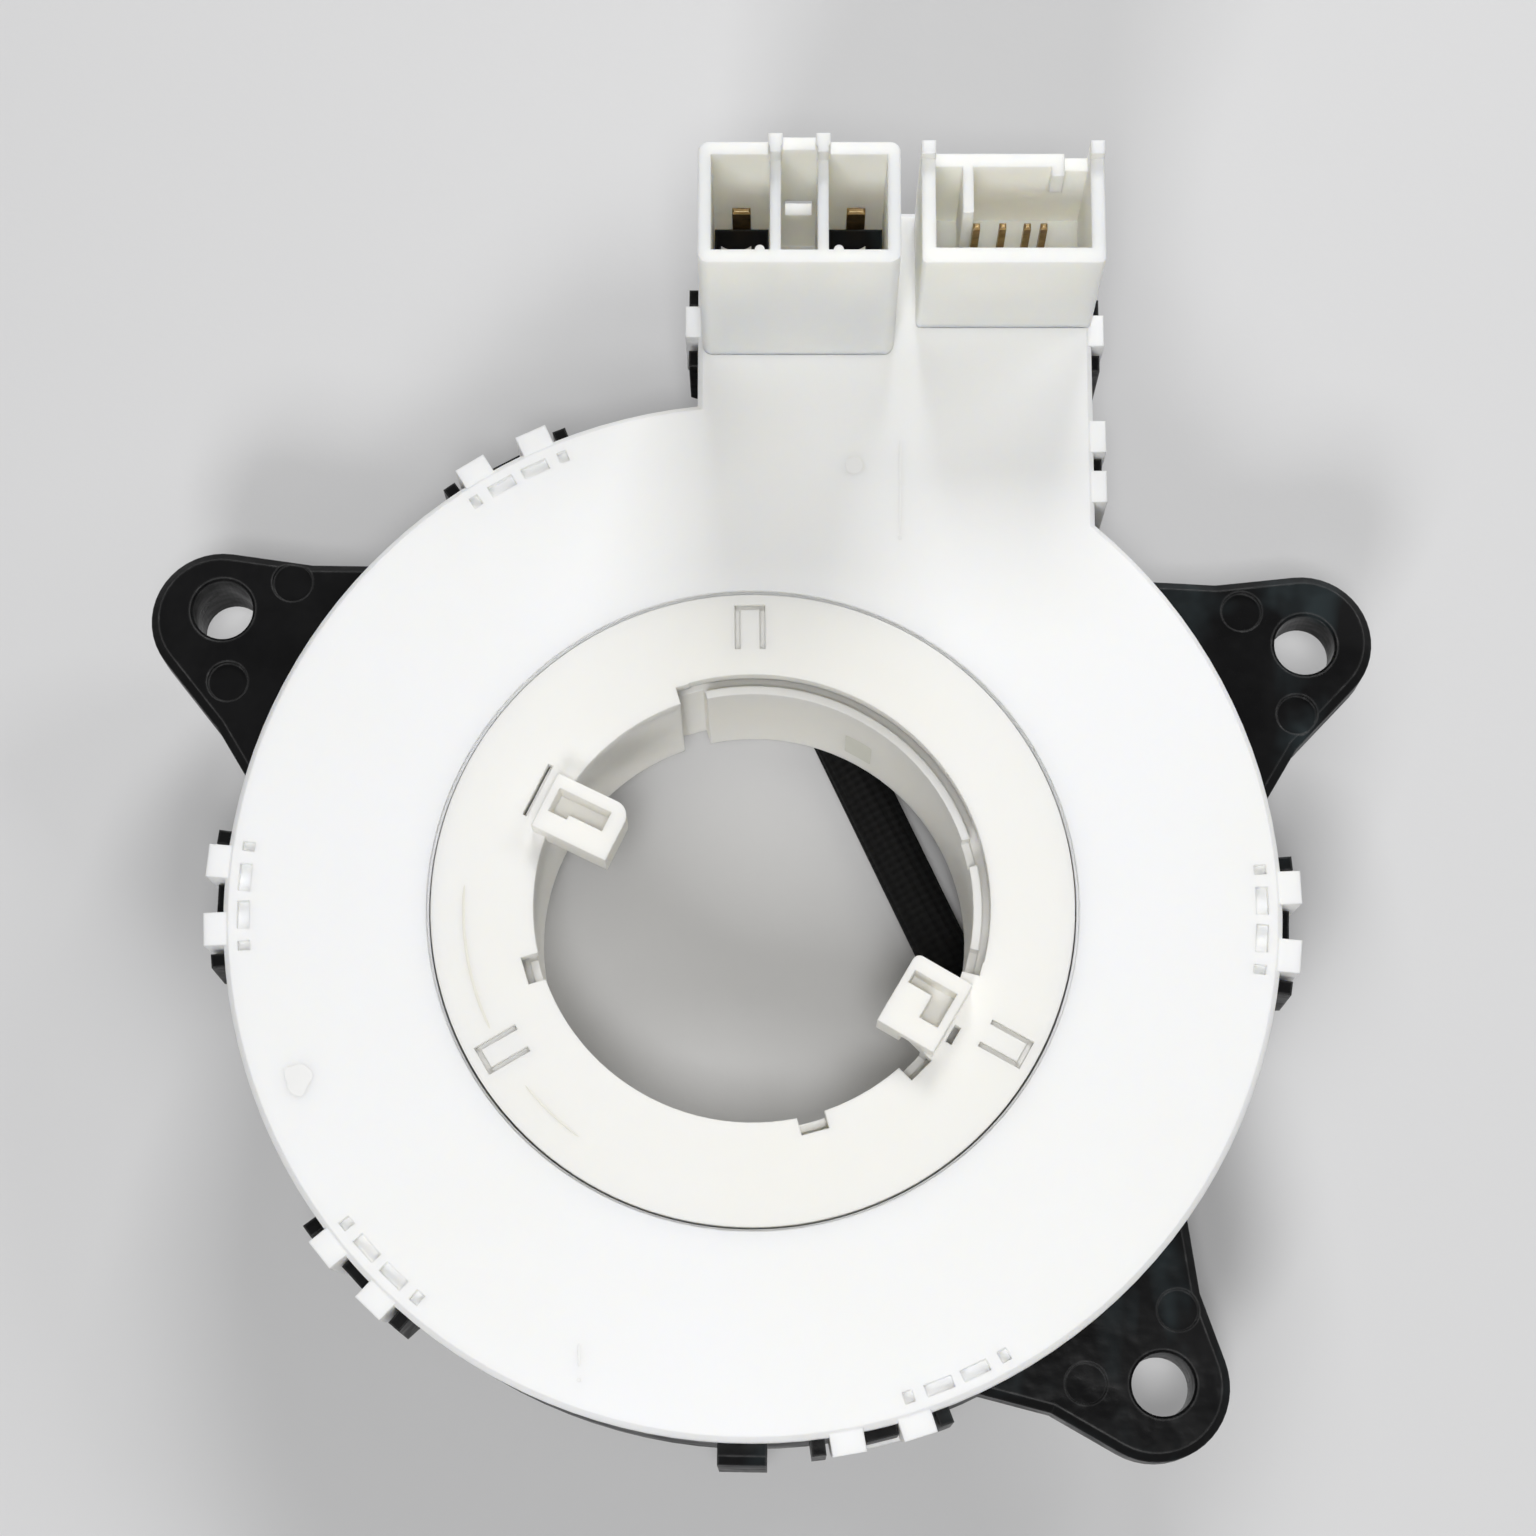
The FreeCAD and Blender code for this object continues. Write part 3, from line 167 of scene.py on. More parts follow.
class Recipe:
    """The nodes of a material or a world, which go into the shader that it starts with."""

    def __init__(self, owner, shader="Principled BSDF"):
        owner.use_nodes = True
        self.owner = owner
        self.nodes = owner.node_tree.nodes
        self.links = owner.node_tree.links
        self.shader = self.nodes[shader]

    def add(self, kind, settings=None, inputs=None, output=0):
        """A new node of a type: first its settings, then the values or links of its sockets."""
        node = self.nodes.new(kind)
        for key, value in (settings or {}).items():
            setattr(node, key, value)
        for key, value in (inputs or {}).items():
            self.feed(node.inputs[key], value)
        return Wire(self, node.outputs[output])

    def feed(self, socket, value):
        """Links a wire to a socket, or sets the socket's value."""
        if isinstance(value, Wire):
            self.links.new(value.socket, socket)
        elif socket.type == "RGBA" and len(value) == 3:
            socket.default_value = (*value, 1.0)
        else:
            socket.default_value = value

    def set(self, **values):
        """Feeds the shader's own sockets, named with underscores for spaces."""
        for key, value in values.items():
            self.feed(self.shader.inputs[key.replace("_", " ")], value)

    def place(self):
        """Object coordinates in metres."""
        return self.add("ShaderNodeTexCoord", output="Object")

    def parts(self, vector):
        """The three numbers of a vector."""
        node = self.add("ShaderNodeSeparateXYZ", inputs={0: vector}).socket.node
        return [Wire(self, socket) for socket in node.outputs]

    def off_axis(self):
        """Distance from the turning axis."""
        x, y, _ = self.parts(self.place())
        return self.math("POWER", x * x + y * y, 0.5)

    def math(self, operation, *values):
        return self.add("ShaderNodeMath", {"operation": operation}, dict(enumerate(values)))

    def vector(self, operation, *values, output=0):
        return self.add(
            "ShaderNodeVectorMath", {"operation": operation}, dict(enumerate(values)), output)

    def noise(self, grain, detail=2.0, stretch=(1.0, 1.0, 1.0)):
        """Soft random field from 0 to 1, with grains of a size in metres."""
        spot = self.add(
            "ShaderNodeMapping", {"vector_type": "POINT"},
            {"Vector": self.place(), "Scale": stretch})
        return self.add(
            "ShaderNodeTexNoise", {"noise_dimensions": "3D"},
            {"Vector": spot, "Scale": 1.0 / grain, "Detail": detail, "Roughness": 0.55})

    def tint(self, mask, low, high):
        """Colour that goes from one to another as a mask goes from 0 to 1."""
        return self.add("ShaderNodeMix", {"data_type": "RGBA"}, {0: mask, 6: low, 7: high}, 2)

    def swap(self, mask, low, high):
        """Vector that goes from one to another as a mask goes from 0 to 1."""
        return self.add("ShaderNodeMix", {"data_type": "VECTOR"}, {0: mask, 4: low, 5: high}, 1)

    def true_normal(self):
        return self.add("ShaderNodeNewGeometry", output="True Normal")

    def edges_and_rounds(self, radius):
        """Rounded normal and an edge mask.

        A wall turned about the axis gets the direction away from the axis as its normal, so its
        flat facets don't show. Where the rounding of the nearest edge bends the normal by more than
        a facet does, that bent normal is used, and the mask rises from 0 to 1.
        """
        x, y, _ = self.parts(self.place())
        outward = self.vector("NORMALIZE", self.add("ShaderNodeCombineXYZ", inputs={0: x, 1: y}))
        facing = self.add("ShaderNodeTexCoord", output="Normal")
        along = self.vector("DOT_PRODUCT", facing, outward, output="Value")
        turned_wall = self.add(
            "ShaderNodeVectorMath", {"operation": "SCALE"}, {0: outward, "Scale": along.side()})
        wall = self.add(
            "ShaderNodeVectorTransform",
            {"vector_type": "NORMAL", "convert_from": "OBJECT", "convert_to": "WORLD"},
            {0: turned_wall})
        flat = self.true_normal()
        smooth = self.swap(abs(along).above(FACET_COSINE), flat, wall)
        bevel = self.add("ShaderNodeBevel", {"samples": 4}, {"Radius": radius})
        bend = 1.0 - self.vector("DOT_PRODUCT", bevel, flat, output="Value")
        edge = bend.between(low=0.003, high=0.03)
        return self.swap(edge, smooth, bevel), edge

    def bump(self, height, distance, normal, strength=1.0):
        """Normal bent by a height field, where a height of 1 stands for the distance."""
        return self.add("ShaderNodeBump", inputs={
            "Strength": strength, "Distance": distance, "Height": height, "Normal": normal})

    def backdrop(self):
        """1 for rays that show what lies behind the object, 0 for rays that light it."""
        seen = sum(self.add("ShaderNodeLightPath", output=ray) for ray in BACKDROP_RAYS)
        return self.math("MINIMUM", seen, 1.0)


def shade(base, *shares):
    """A colour times one share, or times a share each for red, green and blue, and at most 1."""
    shares = shares if len(shares) == 3 else shares * 3
    return tuple(min(1.0, part * scale) for part, scale in zip(base, shares))


def colour(label, text, value):
    """Colour setting with a name, a description and a default."""
    return bpy.props.FloatVectorProperty(
        name=label, description=text, default=value, size=3, subtype="COLOR", min=0.0, max=1.0)


def length(label, text, value):
    """Length setting in metres."""
    return bpy.props.FloatProperty(
        name=label, description=text, default=value, unit="LENGTH", precision=5)


def watts(label, text, value):
    """Power of a lamp in watts."""
    return bpy.props.FloatProperty(
        name=label, description=text, default=value, min=0.0, soft_max=10.0, unit="POWER")


def share(label, text, value):
    """Setting between nothing and all."""
    return bpy.props.FloatProperty(
        name=label, description=text, default=value, min=0.0, max=1.0, subtype="FACTOR")


class WhiteLook(bpy.types.PropertyGroup):
    """Colours and grain of the white mouldings."""
    cover: colour("Cover", "Colour of the upper cover", (0.93, 0.93, 0.925))
    rotor: colour("Rotor", "Colour of the hub and its flange", (0.92, 0.905, 0.86))
    socket: colour("Sockets", "Colour of the two sockets", (0.935, 0.93, 0.875))
    roughness: share("Roughness", "Roughness of the white plastic", 0.42)
    grain: length("Grain", "Size of the moulded grain", 0.35 * MM)
    grain_depth: length("Grain depth", "Depth of the moulded grain", 0.006 * MM)
    edge: length("Edge", "Rounding of the mouldings' edges", 0.22 * MM)


class BlackLook(bpy.types.PropertyGroup):
    """Colours and grain of the black mouldings."""
    case: colour("Case", "Colour of the lower case", (0.002, 0.002, 0.0022))
    # The bluish streaks in this colour are painted reflection, laid into the plastic's colour
    painted_reflection: colour("Sheen", "Colour of the bluish-green flow streaks", (0.022, 0.031, 0.034))
    insert: colour("Inserts", "Colour of the blocks in the sockets", (0.002, 0.002, 0.002))
    # Paler edges: partly rubbed wear, partly a painted highlight along the edges
    worn_and_highlight: colour("Worn edge", "Colour of rubbed edges", (0.14, 0.14, 0.14))
    roughness: share("Roughness", "Roughness of the black plastic", 0.20)
    grain: length("Grain", "Size of the moulded grain", 0.6 * MM)
    grain_depth: length("Grain depth", "Depth of the moulded grain", 0.012 * MM)
    edge: length("Edge", "Rounding of the mouldings' edges", 0.3 * MM)


class MetalLook(bpy.types.PropertyGroup):
    """Colours of the terminals and the shorting clips."""
    bronze: colour("Bronze", "Colour of the terminals", (0.50, 0.33, 0.15))
    rubbed: colour("Rubbed edge", "Colour of the terminals' edges", (0.72, 0.62, 0.40))
    steel: colour("Steel", "Colour of the shorting clips", (0.62, 0.61, 0.58))


class CableLook(bpy.types.PropertyGroup):
    """Colours and patterns of the ribbon, its slip sheets, the lead and its plug."""
    film: colour("Film", "Colour of the ribbon's film", (0.80, 0.72, 0.56))
    copper: colour("Copper", "Colour of the conductors under the film", (0.62, 0.33, 0.19))
    slip: colour("Slip sheets", "Colour of the slip sheets", (0.86, 0.86, 0.85))
    sleeve: colour("Sleeve", "Colour of the lead's sleeve", (0.003, 0.003, 0.003))
    plug: colour("Plug", "Colour of the parked plug", (0.80, 0.50, 0.035))
    pitch: length("Conductor pitch", "Distance between the ribbon's conductors", 1.5 * MM)
    braid: length("Braid", "Length of one diamond of the sleeve's braid", 1.6 * MM)


class LipLook(bpy.types.PropertyGroup):
    """Sizes of the thin lips that show in the flange's gaps."""
    opening: length("Opening", "Radius of the cover's opening", 30.22 * MM)
    lip: length("Lip", "Width of the lip in the cover's opening", 0.27 * MM)
    depth: length("Depth", "How far the lips lie under the face", 0.45 * MM)
    thick: length("Thickness", "Thickness of the lips", 0.6 * MM)


class MarkLook(bpy.types.PropertyGroup):
    """Sizes and colours of the small marks that the moulds leave."""
    cover: colour("On the cover", "Colour of the marks on the cover", (0.87, 0.87, 0.86))
    rotor: colour("On the rotor", "Colour of the marks on the rotor", (0.80, 0.78, 0.70))
    bore: colour("In the bore", "Colour of the mark on the bore's wall", (0.76, 0.76, 0.68))
    height: length("Height", "How far a mark stands proud", 0.02 * MM)
    line: length("Line", "Width of a witness line", 0.26 * MM)
    dot: length("Dot", "Radius of an ejector's mark", 0.85 * MM)


class StudioLook(bpy.types.PropertyGroup):
    """Floor, lamps and camera."""
    floor: colour("Floor", "Colour of the paper that the object lies on", (0.72, 0.72, 0.725))
    haze: colour("Surroundings", "Colour of what lies behind the paper", (0.74, 0.74, 0.75))
    sky: share("Sky", "Strength of the light from all round", 0.02)
    paper: length("Paper", "How far the paper reaches before it fades into the backdrop", 0.22)
    back: watts("Back lamp", "Power of the low lamp beyond the sockets", 1.95)
    right: watts("Right lamp", "Power of the low lamp at the right", 0.75)
    top: watts("Top lamp", "Power of the lamp above the object", 1.45)
    front: watts("Front lamp", "Power of the lamp at the front left", 1.5)
    lens: bpy.props.FloatProperty(
        name="Lens", description="Focal length on a 36 mm sensor", default=84.375, unit="CAMERA")


def finish_node(name, material):
    """Gives a CAD piece its material."""
    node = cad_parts[name]
    node.data.materials.clear()
    node.data.materials.append(material)


def white_plastic(name, base, look, glow=0.5):
    """Smooth white moulding: faint clouding, fine grain, and light passing through thin walls."""
    r = Recipe(bpy.data.materials.new(name))
    normal, edge = r.edges_and_rounds(look.edge)
    cloud = r.noise(28 * MM, detail=3.0)
    fine = r.noise(look.grain)
    waves = r.noise(9 * MM, detail=1.0)
    body = r.tint(cloud.between(0.35, 0.7), base, shade(base, 0.985, 0.98, 0.955))
    r.set(Base_Color=r.tint(edge, body, shade(base, 1.02)))
    r.set(Roughness=look.roughness + 0.10 * cloud - 0.04 * edge, IOR=1.48)
    r.set(Subsurface_Weight=glow, Subsurface_Scale=2.5 * MM, Subsurface_Radius=(1.0, 0.9, 0.7))
    grained = r.bump(fine, look.grain_depth, normal)
    r.set(Normal=r.bump(waves, 0.05 * MM, grained, strength=0.6))
    return r.owner


def black_plastic(name, base, look, dullness=0.0):
    """Black moulding: leathery grain, edges paler as rubbed wear and as a painted highlight, and
    bluish streaks of painted reflection towards +X.
    """
    r = Recipe(bpy.data.materials.new(name))
    normal, edge = r.edges_and_rounds(look.edge)
    flow_and_reflection = r.noise(8 * MM, detail=3.0)
    reflection_streak = r.noise(5 * MM, stretch=(1.0, 0.35, 1.0)).between(0.48, 0.72)
    scuff = r.noise(1.4 * MM, detail=4.0).between(0.5, 0.75)
    fine = r.noise(look.grain, detail=3.0)
    x, _, _ = r.parts(r.place())
    # Painted reflection: bluish streaks tinted into the base colour, only towards +X
    painted_reflection_mask = flow_and_reflection.between(0.42, 0.6) * reflection_streak * x.between(REFLECTION_BEGIN, REFLECTION_FULL)
    body = r.tint(painted_reflection_mask, base, look.painted_reflection)
    # Edges tinted paler, partly as rubbed wear and partly as a painted highlight
    r.set(Base_Color=r.tint(edge * (0.35 + 0.5 * scuff), body, look.worn_and_highlight))
    patches = 0.30 * flow_and_reflection.between(0.3, 0.7) + 0.08 * scuff
    r.set(Roughness=look.roughness + dullness + patches, IOR=1.5, Specular_IOR_Level=0.09)
    grained = r.bump(fine, look.grain_depth, normal)
    r.set(Normal=r.bump(flow_and_reflection, 0.6 * MM, grained, strength=0.8))
    return r.owner


def terminal_metal(look):
    """Drawn bronze: die lines along it, darker tarnish in patches, and paler rubbed edges."""
    r = Recipe(bpy.data.materials.new("terminal_bronze"))
    normal, edge = r.edges_and_rounds(0.06 * MM)
    lines = r.noise(0.12 * MM, stretch=(1.0, 1.0, 0.04))
    tarnish = r.noise(1.6 * MM, detail=3.0)
    body = r.tint(tarnish.between(0.35, 0.65), look.bronze, shade(look.bronze, 0.55))
    r.set(Base_Color=r.tint(edge * 0.7, body, look.rubbed))
    r.set(Metallic=1.0, Roughness=0.28 + 0.2 * tarnish)
    r.set(Normal=r.bump(lines, 0.01 * MM, normal))
    return r.owner


def clip_steel(look):
    """Bright rolled strip: fine lines along the strip and slight blotches."""
    r = Recipe(bpy.data.materials.new("clip_steel"))
    normal, _ = r.edges_and_rounds(0.05 * MM)
    lines = r.noise(0.1 * MM, stretch=(0.05, 1.0, 1.0))
    blotch = r.noise(2.0 * MM)
    r.set(Base_Color=r.tint(blotch, look.steel, shade(look.steel, 0.8)))
    r.set(Metallic=1.0, Roughness=0.34 + 0.16 * lines)
    r.set(Normal=r.bump(lines, 0.006 * MM, normal))
    return r.owner


def ribbon_film(look):
    """Clear film over flat conductors: copper bands across the ribbon's height, film between."""
    r = Recipe(bpy.data.materials.new("ribbon_film"))
    normal, _ = r.edges_and_rounds(0.05 * MM)
    _, _, z = r.parts(r.place())
    band = (z * (2 * math.pi / look.pitch)).sine().between(-0.1, 0.25)
    cloud = r.noise(6 * MM)
    film = r.tint(cloud, look.film, shade(look.film, 0.9))
    r.set(Base_Color=r.tint(band * 0.85, film, look.copper))
    r.set(Roughness=0.2 + 0.15 * cloud, Coat_Weight=0.6)
    r.set(Normal=r.bump(band, 0.04 * MM, normal))
    return r.owner


def slip_film(look):
    """Milky low-friction film with fine rubbing arcs round the axis."""
    r = Recipe(bpy.data.materials.new("slip_film"))
    normal, _ = r.edges_and_rounds(0.05 * MM)
    arcs = r.off_axis() * (2 * math.pi / (0.8 * MM))
    rubbed = (arcs + 3.0 * r.noise(12 * MM)).sine()
    r.set(Base_Color=r.tint(r.noise(15 * MM), look.slip, shade(look.slip, 0.93)))
    r.set(Roughness=0.38 + 0.06 * rubbed)
    r.set(Normal=r.bump(rubbed, 0.004 * MM, normal))
    return r.owner


def braided_sleeve(look):
    """Matt black braid: two families of strands wind round the lead in opposite directions."""
    r = Recipe(bpy.data.materials.new("lead_sleeve"))
    middle = (LEAD_LOW + LEAD_HIGH) / 2
    span = LEAD_HIGH - LEAD_LOW
    spot = r.add(
        "ShaderNodeMapping", {"vector_type": "TEXTURE"},
        {"Vector": r.place(), "Location": tuple(middle),
         "Rotation": (0.0, 0.0, -math.atan2(span.y, span.x))})
    along, across, height = r.parts(spot)
    strands = 8.0 * r.math("ARCTAN2", height, across)
    wind = along * (2 * math.pi / look.braid)
    weave = (strands + wind).sine() * (strands - wind).sine()
    fuzz = r.noise(0.3 * MM, detail=3.0)
    proud = tuple(part * 2.5 + 0.001 for part in look.sleeve)
    r.set(Base_Color=r.tint(weave.between(-1.0, 1.0), look.sleeve, proud))
    r.set(Roughness=0.7 + 0.2 * fuzz, Specular_IOR_Level=0.12)
    fuzzy = r.bump(fuzz, 0.02 * MM, r.true_normal())
    r.set(Normal=r.bump(weave, 0.12 * MM, fuzzy, strength=0.7))
    return r.owner


def coloured_plug(look):
    """Plug plastic: plain moulded colour with faint clouding, fine grain and paler edges."""
    r = Recipe(bpy.data.materials.new("plug_plastic"))
    normal, edge = r.edges_and_rounds(0.25 * MM)
    cloud = r.noise(5 * MM)
    body = r.tint(cloud, look.plug, shade(look.plug, 0.9))
    r.set(Base_Color=r.tint(edge * 0.5, body, shade(look.plug, 1.15)))
    r.set(Roughness=0.40 + 0.1 * cloud)
    r.set(Normal=r.bump(r.noise(0.3 * MM), 0.006 * MM, normal))
    return r.owner


def mark_plastic(name, base):
    """Slightly duller skin of a mould mark, clouded as the plastic round it."""
    r = Recipe(bpy.data.materials.new(name))
    cloud = r.noise(2 * MM)
    normal = r.add("ShaderNodeNewGeometry", output="Normal")
    r.set(Base_Color=r.tint(cloud, base, shade(base, 0.96)), Roughness=0.5 + 0.1 * cloud, IOR=1.48)
    r.set(Normal=r.bump(r.noise(0.35 * MM), 0.004 * MM, normal))
    return r.owner


def paper_material(look):
    """Pale matt paper with faint fibre clouding, which far from the object shows the backdrop."""
    r = Recipe(bpy.data.materials.new("paper"))
    cloud = r.noise(120 * MM)
    mask = r.off_axis().between(look.paper, 3 * look.paper) * r.backdrop()
    near = r.tint(cloud, look.floor, shade(look.floor, 0.97))
    r.set(Base_Color=r.tint(mask, near, BLACK), Roughness=0.9, Specular_IOR_Level=0.1)
    r.set(Emission_Color=r.tint(mask, BLACK, look.haze), Emission_Strength=1.0)
    normal = r.add("ShaderNodeNewGeometry", output="Normal")
    r.set(Normal=r.bump(r.noise(0.8 * MM), 0.01 * MM, normal))
    return r.owner


def surroundings(look):
    """Even light from all round, and a pale backdrop where a ray looks past the paper."""
    r = Recipe(bpy.data.worlds.new("studio"), "Background")
    r.set(Color=r.tint(r.backdrop(), (look.sky,) * 3, look.haze))
    bpy.context.scene.world = r.owner


class CLOCKSPRING_OT_white_mouldings(bpy.types.Operator):
    """Finish the white cover, the rotor and the two sockets"""
    bl_idname = "clockspring.white_mouldings"
    bl_label = "White mouldings"

    def execute(self, context):
        look = context.scene.clockspring_white
        finish_node("upper_cover", white_plastic("cover_plastic", look.cover, look))
        rotor = white_plastic("rotor_plastic", look.rotor, look)
        for name in ("rotor_hub", "rotor_flange"):
            finish_node(name, rotor)
        socket = white_plastic("socket_plastic", look.socket, look, glow=1.0)
        for name in ("airbag_socket", "auxiliary_socket"):
            finish_node(name, socket)
        return {"FINISHED"}


class CLOCKSPRING_OT_black_mouldings(bpy.types.Operator):
    """Finish the black case, the terminal blocks and the carriers in the airbag socket"""
    bl_idname = "clockspring.black_mouldings"
    bl_label = "Black mouldings"

    def execute(self, context):
        look = context.scene.clockspring_black
        finish_node("lower_case", black_plastic("case_plastic", look.case, look))
        insert = black_plastic("insert_plastic", look.insert, look, dullness=0.15)
        for name in ("outer_terminal_block", "inner_terminal_block",
                     "shorting_bar_carrier_left", "shorting_bar_carrier_right"):
            finish_node(name, insert)
        return {"FINISHED"}


class CLOCKSPRING_OT_metal_pieces(bpy.types.Operator):
    """Finish the terminals and the shorting clips"""
    bl_idname = "clockspring.metal_pieces"
    bl_label = "Terminals and clips"

    def execute(self, context):
        look = context.scene.clockspring_metal
        bronze = terminal_metal(look)
        steel = clip_steel(look)
        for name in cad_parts:
            if "_pin_" in name or "_blade_" in name:
                finish_node(name, bronze)
            elif name.startswith("shorting_clip"):
                finish_node(name, steel)
        return {"FINISHED"}


class CLOCKSPRING_OT_cables(bpy.types.Operator):
    """Finish the ribbon, its slip sheets, the sleeved lead and its plug"""
    bl_idname = "clockspring.cables"
    bl_label = "Ribbon and lead"

    def execute(self, context):
        look = context.scene.clockspring_cable
        finish_node("ribbon_cable", ribbon_film(look))
        slip = slip_film(look)
        for name in ("lower_slip_sheet", "upper_slip_sheet"):
            finish_node(name, slip)
        finish_node("airbag_lead", braided_sleeve(look))
        finish_node("airbag_plug", coloured_plug(look))
        return {"FINISHED"}


def round_angles(count):
    """Angles evenly spaced round a circle."""
    return np.linspace(0.0, 2 * np.pi, count + 1)[:-1]


def squared(values, corner):
    """The values' sizes to a power, with their signs kept: 1 keeps a circle, near 0 squares it."""
    return np.sign(values) * np.abs(values) ** corner


def ring_quads(rings, around, looped):
    """Quads between rings of points, and from the last ring to the first where they are looped."""
    i = np.arange(rings if looped else rings - 1)[:, None]
    j = np.arange(around)[None, :]
    ahead, after = (i + 1) % rings, (j + 1) % around
    corners = [i * around + j, ahead * around + j, ahead * around + after, i * around + after]
    return np.stack(corners, -1).reshape(-1, 4).tolist()


def rings_with_poles(points):
    """Closed surface of rings of points joined in order, with a single point at each end.

    The array is rings x around x 3. Its first and last rings are one point each, and are kept once.
    """
    rings, around = points.shape[0] - 2, points.shape[1]
    middle = points[1:-1].reshape(-1, 3)
    vertices = np.vstack([middle, points[0, :1], points[-1, :1]])
    j = np.arange(around)
    after, last = (j + 1) % around, (rings - 1) * around
    start = np.stack([np.full(around, len(middle)), j, after], -1)
    end = np.stack([np.full(around, len(middle) + 1), last + after, last + j], -1)
    return vertices, ring_quads(rings, around, looped=False) + start.tolist() + end.tolist()


def closed(shapes):
    """Closed surfaces of several shapes, each an array of rings."""
    return [rings_with_poles(shape) for shape in shapes]


def hoop(radius, half_width, half_height, z):
    """Closed hoop round the axis, with a squarish section.

    Point (u, v) = ((radius + half_width * c(cos v)) * (cos u, sin u), z + half_height * c(sin v)),
    where c squares the section's corners.
    """
    u = round_angles(HOOP_STEPS)[:, None]
    v = round_angles(HOOP_SECTION)[None, :]
    reach = radius + half_width * squared(np.cos(v), SQUARE_SECTION)
    height = z + half_height * squared(np.sin(v), SQUARE_SECTION)
    height = np.broadcast_to(height, (HOOP_STEPS, HOOP_SECTION))
    points = np.stack([reach * np.cos(u), reach * np.sin(u), height], -1)
    return points.reshape(-1, 3), ring_quads(HOOP_STEPS, HOOP_SECTION, looped=True)


def low_rope(path, width, height):
    """Low rib along a path on a level face.

    Point (u, v) = path(u) + t(u) * (width/2 * cos v sideways + height * sin v upwards), with
    t(u) = (1 - (2u - 1)^8)^(1/2), so both ends close in a point. Half of it is sunk in the face.
    """
    u = np.linspace(0.0, 1.0, len(path))
    v = round_angles(ROPE_AROUND)[None, :, None]
    upwards = np.array((0.0, 0.0, 1.0))
    along = np.gradient(path, axis=0)
    along /= np.linalg.norm(along, axis=1)[:, None]
    sideways = np.cross(along, upwards)[:, None]
    t = np.sqrt(np.clip(1.0 - (2 * u - 1) ** 8, 0.0, 1.0))[:, None, None]
    return path[:, None] + t * (width / 2 * np.cos(v) * sideways + height * np.sin(v) * upwards)


def bun(across, along, height, corner=1.0, wobble=0.0):
    """Low closed bun in its own plane.

    Point (u, v) = (across * s * c(cos v), along * s * c(sin v), height * cos u), where c squares
    the outline's corners, and s = (sin u)^corner times an outline that swings in and out by the
    share `wobble`, three and five times round.
    """
    u = np.linspace(0.0, np.pi, BUN_RINGS)[:, None]
    v = round_angles(BUN_AROUND)[None, :]
    swing = 1.0 + wobble * (np.sin(3 * v) + 0.6 * np.sin(5 * v + 1.0))
    s = np.sin(u) ** corner * swing
    first = across * s * squared(np.cos(v), corner)
    second = along * s * squared(np.sin(v), corner)
    third = np.broadcast_to(height * np.cos(u), first.shape)
    return np.stack([first, second, third], -1)


def on_face(shape, place):
    """Moves a bun to a place on the cover's face."""
    return shape + np.array((*place, FACE_Z))


def turned(shape, angle, out, sideways, z):
    """Moves a bun outwards and sideways on a level face, then turns it about the axis."""
    a = math.radians(angle)
    x, y = shape[..., 0] + out, shape[..., 1] + sideways
    return np.stack(
        [x * math.cos(a) - y * math.sin(a), x * math.sin(a) + y * math.cos(a), shape[..., 2] + z],
        -1)


def on_bore(shape, angle, z):
    """Wraps a bun on the bore's wall: clockwise round it, along the axis, and inwards."""
    turn = math.radians(angle) - shape[..., 0] / BORE_RADIUS
    reach = BORE_RADIUS - shape[..., 2]
    return np.stack([reach * np.cos(turn), reach * np.sin(turn), z + shape[..., 1]], -1)


def arc(radius, start, end):
    """Points of an arc round the axis on the flange's face, one about every degree."""
    turn = np.radians(np.linspace(start, end, int(abs(end - start)) + 6))
    level = np.full(len(turn), FACE_Z)
    return np.column_stack([radius * np.cos(turn), radius * np.sin(turn), level])


def straight(start, end):
    """Points of a straight line on the cover's face."""
    flat = np.linspace(start, end, STRAIGHT_STEPS)
    return np.column_stack([flat, np.full(STRAIGHT_STEPS, FACE_Z)])


def trim(name, surfaces, material, body):
    """One object of several closed surfaces, on a body and in a material slot."""
    vertices, faces, start = [], [], 0
    for points, corners in surfaces:
        vertices.append(points)
        faces += [[corner + start for corner in face] for face in corners]
        start += len(points)
    mesh = bpy.data.meshes.new(name)
    mesh.from_pydata(np.vstack(vertices).tolist(), [], faces)
    mesh.update()
    item = bpy.data.objects.new(name, mesh)
    item.data.materials.append(material)
    bpy.context.scene.collection.objects.link(item)
    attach(item, body)


def lip_level(look):
    """Height of the middle of the lip and the webs."""
    return FACE_Z - look.depth - look.thick / 2


def web(row, angle, look):
    """Flat web at the bottom of a slit, from a row of half sizes and distances in millimetres."""
    half_length, half_width, out, sideways = (value * MM for value in row)
    shape = bun(half_length, half_width, look.thick / 2, SQUARE_WEB)
    return turned(shape, angle, out, sideways, lip_level(look))


class CLOCKSPRING_OT_gap_lips(bpy.types.Operator):
    """Add the thin lips that show in the gap round the flange and at the bottom of its slits"""
    bl_idname = "clockspring.gap_lips"
    bl_label = "Lips in the gaps"

    def execute(self, context):
        white, look = context.scene.clockspring_white, context.scene.clockspring_lips
        radius = look.opening - look.lip / 2
        lip = hoop(radius, look.lip / 2, look.thick / 2, lip_level(look))
        skin = white_plastic("lip_plastic", white.cover, white)
        trim("cover_lip", [lip], skin, "stator")
        webs = [web(DOG_WEB, DOG_ANGLE, look)]
        webs += [web(row, angle, look) for angle in TONGUE_ANGLES for row in TONGUE_WEBS]
        skin = white_plastic("web_plastic", white.rotor, white)
        trim("flange_webs", closed(webs), skin, "rotor")
        return {"FINISHED"}


